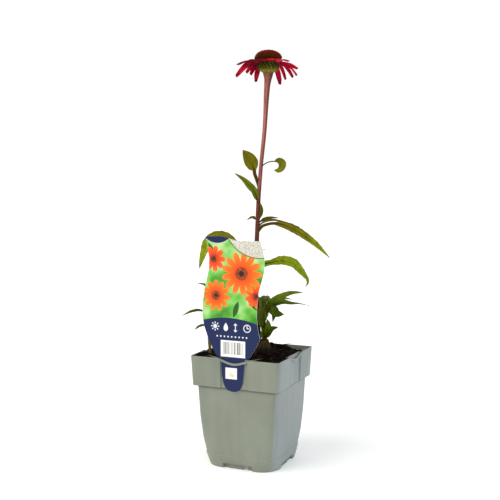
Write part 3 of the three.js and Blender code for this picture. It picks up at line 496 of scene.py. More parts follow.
def soil_block():
    """The soil: a crumbly top drawn down to the collar's foot, on a body that fills the pot below it."""
    clear = WALL + SOIL_CLEARANCE
    half = level_at(COLLAR_LEVELS, SOIL_LEVEL)[0] - clear
    ledge = COLLAR_FOOT + clear

    def place(u, v):
        x, y = inside_pot((2 * u - 1) * half, (2 * v - 1) * half, half)
        return Vector((x, y, crumbly(x, y)))

    top = bent_grid(SOIL_CELLS, SOIL_CELLS, place)
    with editing():
        bpy.ops.mesh.extrude_region_move()
        bpy.ops.transform.resize(value=(0.985, 0.985, 0), center_override=(0, 0, ledge * MM))
        face_outwards()
    weld(top, stack_between(BODY_LEVELS, clear, FLOOR + clear, ledge + 6))
    top.name = "soil_bed"
    return top


def copies(shape, places, name):
    """A copy of a shape at each place, all joined in one piece; the shape itself is used up."""
    made = []
    for place in places:
        copy = bpy.data.objects.new(name, shape.data.copy())
        copy.data.transform(place)
        bpy.context.collection.objects.link(copy)
        made.append(copy)
    bpy.data.objects.remove(shape)
    return gather(made, name)


def tumbled(at, size, dice, flat=0.7):
    """A place at a random turn, for a loose bit of the given size in millimetres."""
    turn = Matrix.Rotation(dice.uniform(0, 2 * math.pi), 4, "Z")
    turn @= Matrix.Rotation(dice.uniform(-0.6, 0.6), 4, "X")
    turn @= Matrix.Rotation(dice.uniform(-0.6, 0.6), 4, "Y")
    stretch = (size * dice.uniform(0.8, 1.5), size, size * flat, 1)
    return Matrix.Translation(Vector(at) * MM) @ turn @ Matrix.Diagonal(stretch)


def loose_bits(name, count, shape, sizes, sink, dice, flat=0.7):
    """Bits strewn over the soil and sunk into it by a share of their size."""
    places = []
    while len(places) < count:
        size = sizes[0] + (sizes[1] - sizes[0]) * dice.random() ** 2.5
        reach = STREWN - 0.75 * size
        x, y = dice.uniform(-reach, reach), dice.uniform(-reach, reach)
        if min(abs(x), abs(y)) < RECESS + 3 and max(abs(x), abs(y)) > reach - 2.6:
            continue
        at = (x, y, crumbly(x, y) - size * sink)
        places.append(tumbled(at, size, dice, flat))
    return copies(shape, places, name)


def rough_crumb(dice):
    """A crumb of compost: a many-sided ball with its corners pulled in and out."""
    crumb = pick_up("ico_sphere", subdivisions=1, radius=0.5 * MM)
    for vertex in crumb.data.vertices:
        vertex.co *= dice.uniform(0.72, 1.18)
    return crumb


def bark_chip():
    """A flat splinter of bark: a block whose ends are bevelled off and drawn out."""
    chip = pick_up("cube", size=1 * MM)
    chip.scale = (1.5, 0.55, 0.22)
    put_down(chip)
    with editing():
        bpy.ops.mesh.subdivide(number_cuts=1, fractal=0.4, seed=3)
        bpy.ops.mesh.bevel(offset=0.08 * MM, segments=1)
    return chip


def fibre():
    """A limp root fibre: a thin three-sided strand with a bend in it."""
    strand = pick_up("cylinder", vertices=3, radius=0.03 * MM, depth=1 * MM)
    strand.rotation_euler = (0, math.pi / 2, 0)
    put_down(strand)
    with editing():
        bpy.ops.mesh.subdivide(number_cuts=5)
    for vertex in strand.data.vertices:
        along = vertex.co.x / MM
        vertex.co.y += 0.16 * math.sin(along * 5) * MM
        vertex.co.z += 0.1 * math.cos(along * 4) * MM
    return strand


def compost(name, dark, light, reddish):
    """Crumbly damp compost: near black, with brown and reddish bits."""
    made, place = new_finish(name, 0.9, 0.03)
    bits = node("TexVoronoi", {"Vector": place, "Scale": 420.0}, "Color")
    ground = steps_of(node("RGBToBW", {"Color": bits}), (0.3, dark), (0.62, light), (0.85, reddish))
    damp = steps_of(cloud(place, 60, 4), (0.35, 0.0), (0.65, 0.75))
    wetness = steps_of(damp, (0.0, 0.95), (1.0, 0.62))
    return surfaced(made, mixed(damp, ground, dark), cloud(place, 1500, 4, 0.7), 0.35, wetness)


soil_dice = random.Random(11)
soil = soil_block()
soil.data.materials.append(compost("compost", tint(7, 5, 5), tint(18, 13, 11), tint(40, 25, 23)))
smooth(50)
crumbs = loose_bits("soil_crumbs", CRUMBS, rough_crumb(soil_dice), (0.7, 3.4), 0.1, soil_dice)
crumbs.data.materials.append(compost("crumb_compost", tint(8, 6, 6), tint(20, 15, 12), tint(44, 27, 25)))
chips = loose_bits("bark_chips", CHIPS, bark_chip(), (1.8, 5.5), 0.02, soil_dice, 0.9)
chips.data.materials.append(compost("bark", tint(26, 19, 15), tint(52, 38, 28), tint(80, 56, 40)))
fibres = loose_bits("peat_fibres", FIBRES, fibre(), (4, 12), 0.0, soil_dice, 1)
fibres.data.materials.append(compost("fibre", tint(54, 40, 24), tint(84, 64, 40), tint(104, 80, 52)))
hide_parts("soil")
for piece in (soil, crumbs, chips, fibres):
    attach(piece, "root")

# ---------------------------------------------------------------- the crown
# The woody crown at soil level, where the stems and roots meet. It is dark brown and fibrous, narrows
# into the base of the right shoot, and is veiled in tan root fibres, with stubs of last year's stalks.

CROWN_X, CROWN_Y = 10, 1.5
CROWN_CLEAN = 142  # height above which no soil clings to it
CROWN_LEVELS = [  # height, radius, how far it stands towards +X
    (112, 5.5, 0),
    (SOIL_LEVEL - 4, 9.6, 0),
    (SOIL_LEVEL + 3, 10.2, 0.4),
    (SOIL_LEVEL + 8, 8.4, 1.4),
    (SOIL_LEVEL + 12, 6.6, 2.4),
    (SOIL_LEVEL + 15.6, 5.2, 3.2),
    (SOIL_LEVEL + 18.6, 3.8, 3.8),
]
ROOTS = 34
STUBS = [  # bearing, height over the soil and length of each stub of an old stalk
    (2.6, 12, 5), (0.5, 14, 4), (1.5, 12, 4.6), (3.6, 11, 4), (4.9, 13, 3.4),
]
PLANT_TURN = math.radians(23.5)
plant_place = Matrix.Rotation(PLANT_TURN, 4, "Z")


def smooth_line(points, steps):
    """Evenly spaced points on a smooth curve through the given ones, and the curve's direction there."""
    line = [Vector(p) for p in points]
    line = [2 * line[0] - line[1], *line, 2 * line[-1] - line[-2]]
    fine = []
    for a, b, c, d in zip(line, line[1:], line[2:], line[3:]):
        gap_0, gap_1, gap_2 = (math.sqrt((q - p).length) for p, q in ((a, b), (b, c), (c, d)))
        leave = (b - a) / gap_0 - (c - a) / (gap_0 + gap_1) + (c - b) / gap_1
        arrive = (c - b) / gap_1 - (d - b) / (gap_1 + gap_2) + (d - c) / gap_2
        leave, arrive = leave * gap_1, arrive * gap_1
        for i in range(24):
            t = i / 24
            fine.append(
                b
                + leave * t
                + (-3 * b + 3 * c - 2 * leave - arrive) * t**2
                + (2 * b - 2 * c + leave + arrive) * t**3
            )
    fine.append(line[-2])
    lengths = [0.0]
    for p, q in zip(fine, fine[1:]):
        lengths.append(lengths[-1] + (q - p).length)
    places, ways, at = [], [], 0
    for i in range(steps + 1):
        wanted = lengths[-1] * i / steps
        while at < len(fine) - 2 and lengths[at + 1] < wanted:
            at += 1
        share = (wanted - lengths[at]) / (lengths[at + 1] - lengths[at])
        places.append(fine[at].lerp(fine[at + 1], share))
        ways.append((fine[at + 1] - fine[at]).normalized())
    return places, ways


def reading(pairs, place):
    """Straight-line reading of a list of (place, value) pairs."""
    for (p0, v0), (p1, v1) in zip(pairs, pairs[1:]):
        if place <= p1:
            return v0 + (v1 - v0) * max(0, place - p0) / (p1 - p0)
    return pairs[-1][1]


def tubes(name, runs, sides=2):
    """Round tapering tubes: each run is its points and its radii, in millimetres."""
    curve = bpy.data.curves.new(name, "CURVE")
    curve.dimensions = "3D"
    curve.bevel_depth = 1 * MM
    curve.bevel_resolution = sides
    curve.use_fill_caps = True
    for points, radii in runs:
        spline = curve.splines.new("POLY")
        spline.points.add(len(points) - 1)
        for slot, point, radius in zip(spline.points, points, radii):
            slot.co = (*(Vector(point) * MM), 1)
            slot.radius = radius
    made = bpy.data.objects.new(name, curve)
    bpy.context.collection.objects.link(made)
    take(made)
    bpy.ops.object.convert(target="MESH")
    made.data.transform(plant_place)
    return made


def crown_side(height, turn, swell):
    """A point of the crown's side, or off it by the swell, at a height and a bearing."""
    radius = swell * reading([(z, r) for z, r, _ in CROWN_LEVELS], height)
    lean = reading([(z, x) for z, _, x in CROWN_LEVELS], height)
    x = CROWN_X + lean + radius * 1.08 * math.cos(turn)
    return Vector((x, CROWN_Y + radius * math.sin(turn), height))


def turned_round(profile, sides, name, **bridging):
    """A closed solid turned about the upright axis, from (radius, height) points."""

    def circle(radius, height):
        bpy.ops.mesh.primitive_circle_add(vertices=sides, radius=radius * MM, location=(0, 0, height * MM))

    made = lofted(profile, circle, **bridging)
    made.name = name
    return made


def crown_body():
    """The crown: turned to its profile, then ridged and roughened, and leaned over to one side."""
    profile = [(radius, height) for height, radius, _ in CROWN_LEVELS]
    body = turned_round(profile, 96, "crown_wood", number_cuts=8, interpolation="SURFACE")
    for vertex in body.data.vertices:
        x, y, height = vertex.co / MM
        turn = math.atan2(y, x)
        ridges = 0.06 * math.sin(8 * turn + 0.05 * height) + 0.03 * math.sin(21 * turn)
        rough = 0.09 * noise.noise(Vector((x / 2, y / 2, height / 5)))
        vertex.co = crown_side(height, turn, 1.03 + ridges + rough) * MM
    body.data.transform(plant_place)
    return body


def crown_roots(dice):
    """Root fibres that run down the crown's side, fan out and dive into the soil, and stubs of stalks."""
    runs = []
    for i in range(ROOTS):
        turn = i / ROOTS * 2 * math.pi + dice.uniform(-0.12, 0.12)
        top = SOIL_LEVEL + dice.uniform(7, 17.5)
        drift = dice.uniform(-0.35, 0.35)
        spread = dice.uniform(1.08, 1.42)
        line = [
            crown_side(top, turn, 0.96),
            crown_side((top + SOIL_LEVEL + 3) / 2, turn + drift * 0.5, 1.08),
            crown_side(SOIL_LEVEL + 3, turn + drift, (1.04 + spread) / 2),
            crown_side(SOIL_LEVEL - 3.5, turn + drift * 1.3, spread),
        ]
        places, _ = smooth_line(line, 12)
        thick = dice.uniform(0.28, 0.75) * (1.35 if i % 6 == 0 else 1)
        runs.append((places, [thick * (0.8 + 0.2 * math.sin(0.55 * k + i)) for k in range(13)]))
    for turn, height, length in STUBS:
        base = crown_side(SOIL_LEVEL + height, turn, 0.72)
        tip = base + Vector((math.cos(turn) * 1.2, math.sin(turn) * 1.2, length))
        runs.append(([base, base.lerp(tip, 0.5), tip], [1.2, 1.05, 1]))
    return tubes("crown_roots", runs, 3)


def bark_skin(name, dark, light, scale=1.0, soiled=None):
    """Fibrous brown skin, streaked along the stem and dark with soil up to a height."""
    made, place = new_finish(name, 0.85, 0.15)
    streaks = cloud(stretched(place, (1, 1, 0.15)), 900 * scale, 4, 0.6)
    grain = mixed(0.5, streaks, cloud(place, 160 * scale, 3))
    colour = steps_of(grain, (0.36, dark), (0.66, light))
    if soiled:
        low = fade(axes_of(place)[2], soiled * MM, (soiled - 8) * MM, 0.9)
        colour = mixed(low, colour, tint(20, 15, 11))
    return surfaced(made, colour, streaks, 0.25)


crown_dice = random.Random(5)
crown = crown_body()
crown.data.materials.append(bark_skin("crown_bark", tint(24, 18, 10), tint(78, 58, 34), soiled=CROWN_CLEAN))
smooth(60)
roots = crown_roots(crown_dice)
roots.data.materials.append(bark_skin("root_bark", tint(44, 34, 19), tint(132, 104, 64), soiled=CROWN_CLEAN))
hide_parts("crown")
for piece in (crown, roots):
    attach(piece, "root")

# ---------------------------------------------------------------- the flower stem
# One stiff upright stem that carries the flower head. It is ribbed, rough with short bristles, and
# mauve-brown where it stands in the light. Its leaves are lance-shaped, toothed and three-nerved.

HEAD_BASE = 459.7
STEM_PATH = [
    (7, 2.5, 112),
    (7, 2.5, 144),
    (5, 1, 180),
    (3.5, 0, 215),
    (4.1, 0, 250),
    (5.3, 0, 280),
    (6.6, 0, 312),
    (9.6, 0, 353),
    (13.6, 0, 394),
    (15.8, 0, 433),
    (16.7, 0, 446),
    (17.7, 0, 455),
    (17.8, 0, HEAD_BASE - 0.3),
]
STEM_RADII = [
    (0, 2.9),
    (0.5, 2.6),
    (0.7, 2.2),
    (0.86, 2.5),
    (0.93, 3.2),
    (0.96, 3.5),
    (0.98, 4.2),
    (1, 6),
]
STEM_LEAVES = [
    dict(width=18, stalk=0.47, wing=0.5, across=(0.1, -1, 0.1), fold=66, teeth=0.03, path=[
        (11, 0, 352.4), (17.1, 1, 356.1), (22.4, 2, 357.4), (26.5, 3, 357.3), (29.5, 4, 355.9),
        (30.8, 5, 352.8), (29.3, 6, 349), (25.1, 7, 347),
    ]),
    dict(width=17, stalk=0.44, wing=1.9, peak=0.85, face=(0.15, -1, 0.2), fold=22, teeth=0.03, path=[
        (7.6, 0, 326), (6.1, 0, 331.4), (3.9, -3, 337.8), (2, -5, 343), (1.5, -7, 347.4), (-1.9, -9, 354.8),
        (-5.5, -10, 361), (-9.1, -11, 366.3), (-11.5, -12, 370.1),
    ]),
    dict(width=9, stalk=0.2, peak=0.62, face=(0.3, -1, 0.3), fold=18, teeth=0.05, path=[
        (6.4, 0, 301), (6, -1, 307), (4.4, -3, 314.6), (1.3, -5, 322.5), (-4.2, -8, 328.6),
        (-10.6, -10, 335.7), (-21.1, -12, 343.4),
    ]),
    dict(width=5.5, stalk=0.2, face=(0.5, -1, 0), fold=30, path=[
        (5.6, 0, 284), (8.1, -3, 293.2), (9.8, -5, 300.9), (8.7, -6, 308.6),
    ]),
    dict(width=5.4, stalk=0.2, face=(-0.2, -0.6, 1), fold=25, path=[
        (5.4, 0, 287), (1.5, 4, 290.6), (-2.9, 7, 290.4), (-7.1, 9, 288),
    ]),
    dict(width=6.4, stalk=0.15, face=(0, -0.5, 1), fold=25, path=[
        (5.5, 0, 284.4), (11.9, 4, 288.2), (20.3, 8, 290.2), (30.5, 11, 290.6),
    ]),
    dict(width=6.2, stalk=0.15, face=(0, -0.4, 1), fold=20, path=[
        (5.3, 0, 280), (11.2, -1, 285.2), (22.3, 0, 287.8), (36.3, 1, 287.2),
    ]),
    dict(width=12.4, stalk=0.24, wing=1.9, peak=0.66, face=(0.3, -0.75, 0.6), fold=14, path=[
        (4.9, 0, 274), (10.6, -5, 281.2), (17.6, -8, 284), (24.6, -10, 285), (33.9, -12, 283.8),
        (45.4, -15, 279.1), (56.9, -18, 272.6), (66.1, -21, 266.1), (75.2, -23, 258.9), (89.2, -26, 245.6),
    ]),
    dict(width=14.8, stalk=0.14, wing=4, peak=0.85, point=1.15, face=(0.3, -0.75, 0.65), fold=16, path=[
        (3.6, 0, 229), (5.5, 0, 233.8), (13.1, 1, 236.2), (22.6, 3, 238), (34.6, 6, 239.3),
        (43.1, 9, 237.6), (49.2, 11, 235), (55.3, 13, 228.6), (61.5, 15, 221.6), (65.9, 17, 215.6),
        (65.9, 18, 210.2), (63, 19, 206.4),
    ]),
    dict(width=15, stalk=0.24, face=(-0.35, -0.8, 0.6), fold=14, path=[
        (3.7, 0, 250), (-5.3, -2, 253.6), (-12.9, -4, 258.2), (-22.3, -7, 263.8), (-31.6, -10, 268.4),
        (-40.8, -13, 269.6), (-48.9, -16, 266.4), (-53.4, -18, 261), (-56.2, -20, 253), (-58.6, -21, 245.9),
        (-60.7, -22, 239.4), (-62.4, -22, 233),
    ]),
    dict(width=4.4, path=[(3.6, 0, 244), (9, -1, 251), (15.4, -2, 254.6)]),
    dict(width=16, stalk=0.22, path=[
        (3.6, 0, 218), (2, 9, 232), (-3, 22, 239), (-10, 38, 234), (-15, 50, 220),
    ]),
]
STALK = 1.3  # half width of a leaf's stalk where it leaves the stem
BLADE_CELLS = 16  # cells across a blade
BLADE_THICKNESS = 0.42
BRISTLES = 1400


def square_to(way, wish):
    """The unit vector nearest to a wish that is square to a way."""
    return (wish - way * wish.dot(way)).normalized()


def stem_skin(name, path, radii, steps, ribs):
    """A stem with fine ribs: a grid rolled up round its line, with its ends closed."""
    places, ways = smooth_line(path, steps)

    def place(u, v):
        turn = 2 * math.pi * u
        row = round(v * steps)
        across = Vector((0, -1, 0)).cross(ways[row]).normalized()
        over = ways[row].cross(across)
        radius = reading(radii, v) * (1 + 0.045 * math.cos(ribs * turn))
        return places[row] + (across * math.cos(turn) + over * math.sin(turn)) * radius

    body = bent_grid(4 * ribs, steps, place)
    with editing():
        bpy.ops.mesh.remove_doubles(threshold=0.001 * MM)
        bpy.ops.mesh.fill_holes(sides=0)
        bpy.ops.mesh.normals_make_consistent(inside=False)
    smooth(50)
    body.data.transform(plant_place)
    body.name = name
    return body


def leaf(
    path, width, stalk=0.25, wing=0, peak=0.8, point=0.85, face=(0, 0, 1), across=None, fold=18, teeth=0.09
):
    """One leaf: a grid laid along its midrib, folded, toothed and puckered between its nerves, and the
    points and radii of its stalk, which runs on under the blade as the midrib."""
    length = sum((Vector(q) - Vector(p)).length for p, q in zip(path, path[1:]))
    steps = max(18, round(length / 1.5))
    places, ways = smooth_line(path, steps)
    if across:
        sides = [square_to(way, Vector(across)) for way in ways]
    else:
        sides = [way.cross(Vector(face)).normalized() for way in ways]
    ups = [side.cross(way) for side, way in zip(sides, ways)]
    serrations = max(4, round(length * (1 - stalk) / 7))
    seed = path[-1][0] * 3.1 + path[-1][2]
    winged = wing > STALK
    first = 0 if winged else math.ceil(stalk * 0.93 * steps)
    edge = wing if winged else STALK * 0.5

    def place(u, v):
        u = 2 * u - 1
        row = max(first, round(v * steps))
        out = max(0, (row / steps - stalk) / (1 - stalk))
        swell = math.sin(math.pi * out**peak) ** point if 0 < out < 1 else 0
        tooth = (out * serrations + 0.37 * (u > 0)) % 1
        cut = 1 + teeth * (1.2 * tooth**2 - 0.5) * min(1, 8 * out * (1 - out)) * abs(u) ** 3
        half = max(edge * (1 - out) + 0.15, width / 2 * swell) * cut
        opened = math.radians(fold) * min(1, out * 4)
        pucker = 0.16 * (math.cos(4 * math.pi * u) - 1) * min(1, half / 5)
        frill = 0.05 * width * u * u * noise.noise(Vector((seed + u, out * 5, seed)))
        curl = 0.03 * width * noise.noise(Vector((seed, out * 3, 7))) * u
        rise = abs(u) * half * math.sin(opened) + pucker + (frill + curl) * min(1, swell * 2)
        return places[row] + sides[row] * u * half * math.cos(opened) + ups[row] * rise

    blade = bent_grid(BLADE_CELLS, steps, place)
    with editing():
        bpy.ops.mesh.remove_doubles(threshold=0.005 * MM)
    small = wing if 0 < wing < STALK else min(1, 0.35 + width / 14)
    radii, under = [], []
    for row in range(steps):
        out = max(0, (row / steps - stalk) / (1 - stalk))
        radius = STALK * 0.92 * (1 - out) ** 1.2 * (1 - 0.45 * min(1, out * 5)) + 0.12
        radii.append(radius * small)
        under.append(places[row] - ups[row] * radius * small * 0.6 * min(1, out * 8))
    return blade, (under, radii)


def leaf_spray(name, leaves, blade_materials, stalk_material):
    """All the leaves of one stem: their blades in one piece and their stalks and midribs in another."""
    made = [leaf(**spec) for spec in leaves]
    spray = gather([blade for blade, _ in made], name + "_blades")
    spray.data.transform(plant_place)
    for finish in blade_materials:
        spray.data.materials.append(finish)
    apply_modifier(spray, "SOLIDIFY", thickness=BLADE_THICKNESS * MM, offset=-1, material_offset=1)
    smooth(60)
    stalks = tubes(name + "_stalks", [run for _, run in made])
    stalks.data.materials.append(stalk_material)
    smooth(60)
    return spray, stalks


def by_height(place, stops):
    """Colours read off along the height over the floor; each stop is a height in metres and a colour."""
    share = fade(axes_of(place)[2], 0.0, 0.5)
    return steps_of(share, *[(2 * height, colour) for height, colour in stops])


def sheet_of(place):
    """Across and along the piece's own UV sheet, for a finish whose place is given."""
    return axes_of(Pattern(place.socket.node.outputs["UV"]))[:2]


def leaf_green(name, ages, nerve, roughness=0.5, paler=0.0, rust=0.0):
    """Leaf skin: green by its age up the stem, mottled darker and here and there rusty brown, with a pale
    midrib, a nerve along each side, slanting side veins and a fine net between them."""
    made, place = new_finish(name, roughness, 0.06)
    across, along = sheet_of(place)
    mottle = cloud(place, 130, 4, 0.6)
    green = mixed(paler, by_height(place, ages), tint(146, 150, 56))
    rusty = steps_of(cloud(place, 240, 3), (0.52, 0.0), (0.66, rust))
    green = mixed(rusty, green, tint(72, 50, 12))
    shade = steps_of(mottle, (0.3, 0.45), (0.5, 0.82), (0.7, 1.0))
    spread = abs(across - 0.5)  # from the midrib, as a share of the blade's width
    lines = steps_of(spread, (0.012, 0.8), (0.03, 0.0))
    nerves = steps_of(abs(spread - 0.24), (0.006, 0.5), (0.018, 0.0))
    slant = spread * -0.5 + along
    veins = steps_of((slant * 80.0).math("SINE"), (0.88, 0.0), (0.99, 0.4))
    web = node("TexVoronoi", {"Vector": place, "Scale": 800.0}, "Distance", feature="DISTANCE_TO_EDGE")
    for more in (nerves, veins, steps_of(web, (0.0, 0.25), (0.09, 0.0))):
        lines = mixed(1.0, lines, more, "LIGHTEN")
    colour = mixed(lines, mixed(1.0, green, shade, "MULTIPLY"), nerve)
    return surfaced(made, colour, mixed(0.35, lines, mottle), -0.12)


def leaf_finishes(prefix, ages, nerve, rust=0.0):
    """The two faces of a leaf: green above, a little paler and duller below."""
    return [
        leaf_green(prefix + "_upper", ages, nerve, 0.5, 0.0, rust),
        leaf_green(prefix + "_under", ages, nerve, 0.7, 0.15, rust),
    ]


def stem_finish(name, stops, dark=tint(70, 34, 28), painted_side_shade=0.0):
    """Stem skin that changes with height and is streaked along its ribs; when a painted side shade is given,
    its +X side is darkened as painted shade.
    """
    made, place = new_finish(name, 0.65, 0.1)
    streaks = cloud(stretched(place, (1, 1, 0.05)), 1100, 3)
    colour = mixed(steps_of(streaks, (0.4, 0.0), (0.7, 0.6)), by_height(place, stops), dark)
    if painted_side_shade:
        # Painted shade: the stem's +X side is mixed towards the dark colour.
        side = (sheet_of(place)[0] * (2 * math.pi)).math("COSINE") * 0.5 + 0.5
        deep = steps_of(side, (0.0, painted_side_shade), (0.3, painted_side_shade * 0.7), (0.6, 0.0), (1.0, 0.2))
        colour = mixed(deep, colour, dark)
    return surfaced(made, colour, streaks, 0.08)


def standing(at, way, wide, long):
    """The place of a shape that stands up from a point, in millimetres, along a way, and its size."""
    turned = way.to_track_quat("Z", "X").to_matrix().to_4x4()
    return Matrix.Translation(at * MM) @ turned @ Matrix.Diagonal((wide, wide, long, 1))


def bristles(name, path, radii, count, length, low):
    """Short stiff hairs that stand out of a stem above a share of its length: one thin spine, copied."""
    spine = pick_up("cone", vertices=3, radius1=0.09 * MM, depth=1 * MM, location=(0, 0, 0.5 * MM))
    put_down(spine)
    steps = 200
    line, ways = smooth_line(path, steps)
    places = []
    for _ in range(count):
        share = stem_dice.uniform(low, 0.97)
        row = int(share * steps)
        way = ways[row]
        turn = stem_dice.uniform(0, 2 * math.pi)
        across = Vector((0, -1, 0)).cross(way).normalized()
        out = across * math.cos(turn) + way.cross(across) * math.sin(turn)
        lean = (out + way * stem_dice.uniform(0.1, 0.6)).normalized()
        root = line[row] + out * (reading(radii, share) - 0.08)
        long = length * stem_dice.uniform(0.6, 1.2)
        places.append(plant_place @ standing(root, lean, 1, long))
    return copies(spine, places, name)


def leafy_stem(name, path, radii, steps, ribs, leaves, skin, blade_skins, hairs):
    """A leafy stem in four pieces: its ribbed stalk, its blades, the leaves' stalks and its bristles."""
    stalk = stem_skin(name + "_stalk", path, radii, steps, ribs)
    stalk.data.materials.append(skin)
    blades, leaf_stalks = leaf_spray(name + "_leaf", leaves, blade_skins, leaf_stalk_skin)
    hairy = bristles(name + "_bristles", path, radii, *hairs)
    hairy.data.materials.append(bristle_skin)
    return stalk, blades, leaf_stalks, hairy


STEM_COLOURS = [  # height in metres, colour
    (0.125, tint(76, 58, 30)),
    (0.24, tint(92, 48, 36)),
    (0.3, tint(112, 60, 48)),
    (0.34, tint(172, 102, 92)),
    (0.4, tint(184, 112, 102)),
    (0.45, tint(174, 106, 92)),
    (0.463, tint(128, 96, 56)),
]
LEAF_AGES = [  # height in metres, colour
    (0.205, tint(120, 138, 6)),
    (0.236, tint(134, 154, 8)),
    (0.255, tint(140, 152, 10)),
    (0.266, tint(122, 120, 10)),
    (0.279, tint(106, 98, 8)),
    (0.292, tint(78, 64, 6)),
    (0.305, tint(84, 84, 4)),
    (0.325, tint(94, 114, 0)),
    (0.347, tint(104, 98, 0)),
]
stem_dice = random.Random(3)
stem_material = stem_finish("stem_skin", STEM_COLOURS, painted_side_shade=0.95)
leaf_stalk_skin = stem_finish(
    "leaf_stalk_skin",
    [(0.15, tint(56, 62, 12)), (0.2, tint(84, 94, 14)), (0.27, tint(70, 58, 12)), (0.33, tint(80, 40, 20))],
    tint(44, 28, 10),
)
bristle_skin = stem_finish(
    "bristle", [(0.15, tint(140, 120, 84)), (0.4, tint(180, 136, 116))], tint(110, 70, 54)
)
stem_leaf_skins = leaf_finishes("stem_leaf", LEAF_AGES, tint(150, 154, 30), 0.25)
flower_stem, spray, stalks, stem_hairs = leafy_stem(
    "flower_stem", STEM_PATH, STEM_RADII, 150, 9, STEM_LEAVES, stem_material, stem_leaf_skins,
    (BRISTLES, 1.1, 0.06),
)
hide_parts("flower_stem")
for piece in (flower_stem, spray, stalks, stem_hairs):
    "leaf" if piece in (spray, stalks) else "stem"
    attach(piece, "root")

# ---------------------------------------------------------------- the flower's cup
# The green cup under the head, grown as one with it. Four rows of narrow pointed bracts stand out of
# it and curl down, yellow-green at the roots and dark green towards their tips, a dark green deepened
# by painted shadow where the cup meets the rays.

HEAD_X = 17.8  # where the head's middle stands
GAP = 0.3  # between the cup, the ring of rays and the cone
CUP_TOP = 472.3
CUP_PROFILE = [  # radius, height over the cup's base
    (5.9, 0),
    (8.8, 2),
    (11.2, 4.6),
    (12.5, 8),
    (12.7, CUP_TOP - HEAD_BASE),
]
BRACT_ROWS = [  # how many, radius and height of their roots, lean in degrees, length
    (12, 6.4, 1.2, 40, 4.4),
    (15, 9.2, 3, 32, 4.6),
    (17, 11.2, 5.6, 22, 4),
    (17, 12, 9, 14, 3.2),
]
head_place = plant_place @ Matrix.Translation((HEAD_X * MM, 0, 0))


def bract():
    """One bract, a millimetre long until it is stretched: a pointed blade that curls down."""

    def place(u, v):
        half = 0.26 * math.sin(math.pi * (0.12 + 0.86 * v)) ** 0.8
        side = (2 * u - 1) * half
        return Vector((v - 0.3, side, 0.14 * v - 0.42 * v**2 - 0.6 * side**2))

    made = bent_grid(4, 7, place)
    apply_modifier(made, "SOLIDIFY", thickness=0.08 * MM, offset=-1)
    return made


def ring_places(middle, row, count, radius, height, lean):
    """Places in a ring, each with its bearing, leaning by so many degrees; odd rows are half a step on."""
    places = []
    for i in range(count):
        turn = (i + row * 0.5) / count * 2 * math.pi
        spot = Matrix.Rotation(turn, 4, "Z") @ Matrix.Translation(Vector((radius, 0, height)) * MM)
        places.append((turn, middle @ spot @ Matrix.Rotation(-math.radians(lean), 4, "Y")))
    return places


def bract_places():
    """Where the cup's bracts stand, row above row."""
    places = []
    for row, (count, radius, height, lean, length) in enumerate(BRACT_ROWS):
        for turn, spot in ring_places(head_place, row, count, radius, HEAD_BASE + height, lean):
            size = length * (0.92 + 0.16 * noise.noise(Vector((turn, row, 2))))
            places.append(spot @ Matrix.Scale(size, 4))
    return places


def far_from(place, middle, squash):
    """How far a place lies from a middle, with each axis multiplied by its squash."""
    offset = node("VectorMath", {0: place, 1: middle}, operation="SUBTRACT")
    flat = node("VectorMath", {0: offset, 1: squash}, operation="MULTIPLY")
    return node("VectorMath", {0: flat}, "Value", operation="LENGTH")


def cup_green():
    """Yellow-green round the stem and darker outwards, with the bracts' tips brown. The dark band at the
    cup's top is partly its own dark green and partly painted shadow under the rays.
    """
    made, place = new_finish("cup_green", 0.75, 0.05)
    far = far_from(place, head_place @ Vector((0, 0, HEAD_BASE * MM)), (1, 1, 0.35))
    # Darker outwards: partly the bracts' own dark green, partly painted shadow under the rays.
    colour = steps_of(
        fade(far, 5 * MM, 18 * MM),
        (0.0, tint(134, 102, 62)),
        (0.15, tint(130, 112, 44)),
        (0.34, tint(124, 118, 26)),
        (0.48, tint(84, 82, 8)),
        (0.6, tint(48, 46, 4)),
        (0.85, tint(38, 40, 6)),
        (1.0, tint(60, 30, 12)),
    )
    spots = cloud(place, 700, 3)
    colour = mixed(steps_of(spots, (0.35, 0.5), (0.55, 0.0)), colour, tint(34, 32, 4))
    colour = mixed(steps_of(spots, (0.58, 0.0), (0.68, 0.5)), colour, tint(176, 168, 92))
    return surfaced(made, colour, spots, 0.12)


cup = turned_round([(r, HEAD_BASE + z) for r, z in CUP_PROFILE], 48, "flower_cup_body")
cup.data.transform(head_place)
smooth(50)
bracts = copies(bract(), bract_places(), "flower_cup_bracts")
smooth(60)
cup_material = cup_green()
for piece in (cup, bracts):
    piece.data.materials.append(cup_material)
    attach(piece, "root")
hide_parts("flower_cup")

# ---------------------------------------------------------------- the rays
# Nineteen strap-shaped rays in one ring round the head. They are thin and velvety, crimson with
# darker edges and tips, grooved twice along their length, and notched at the tip.

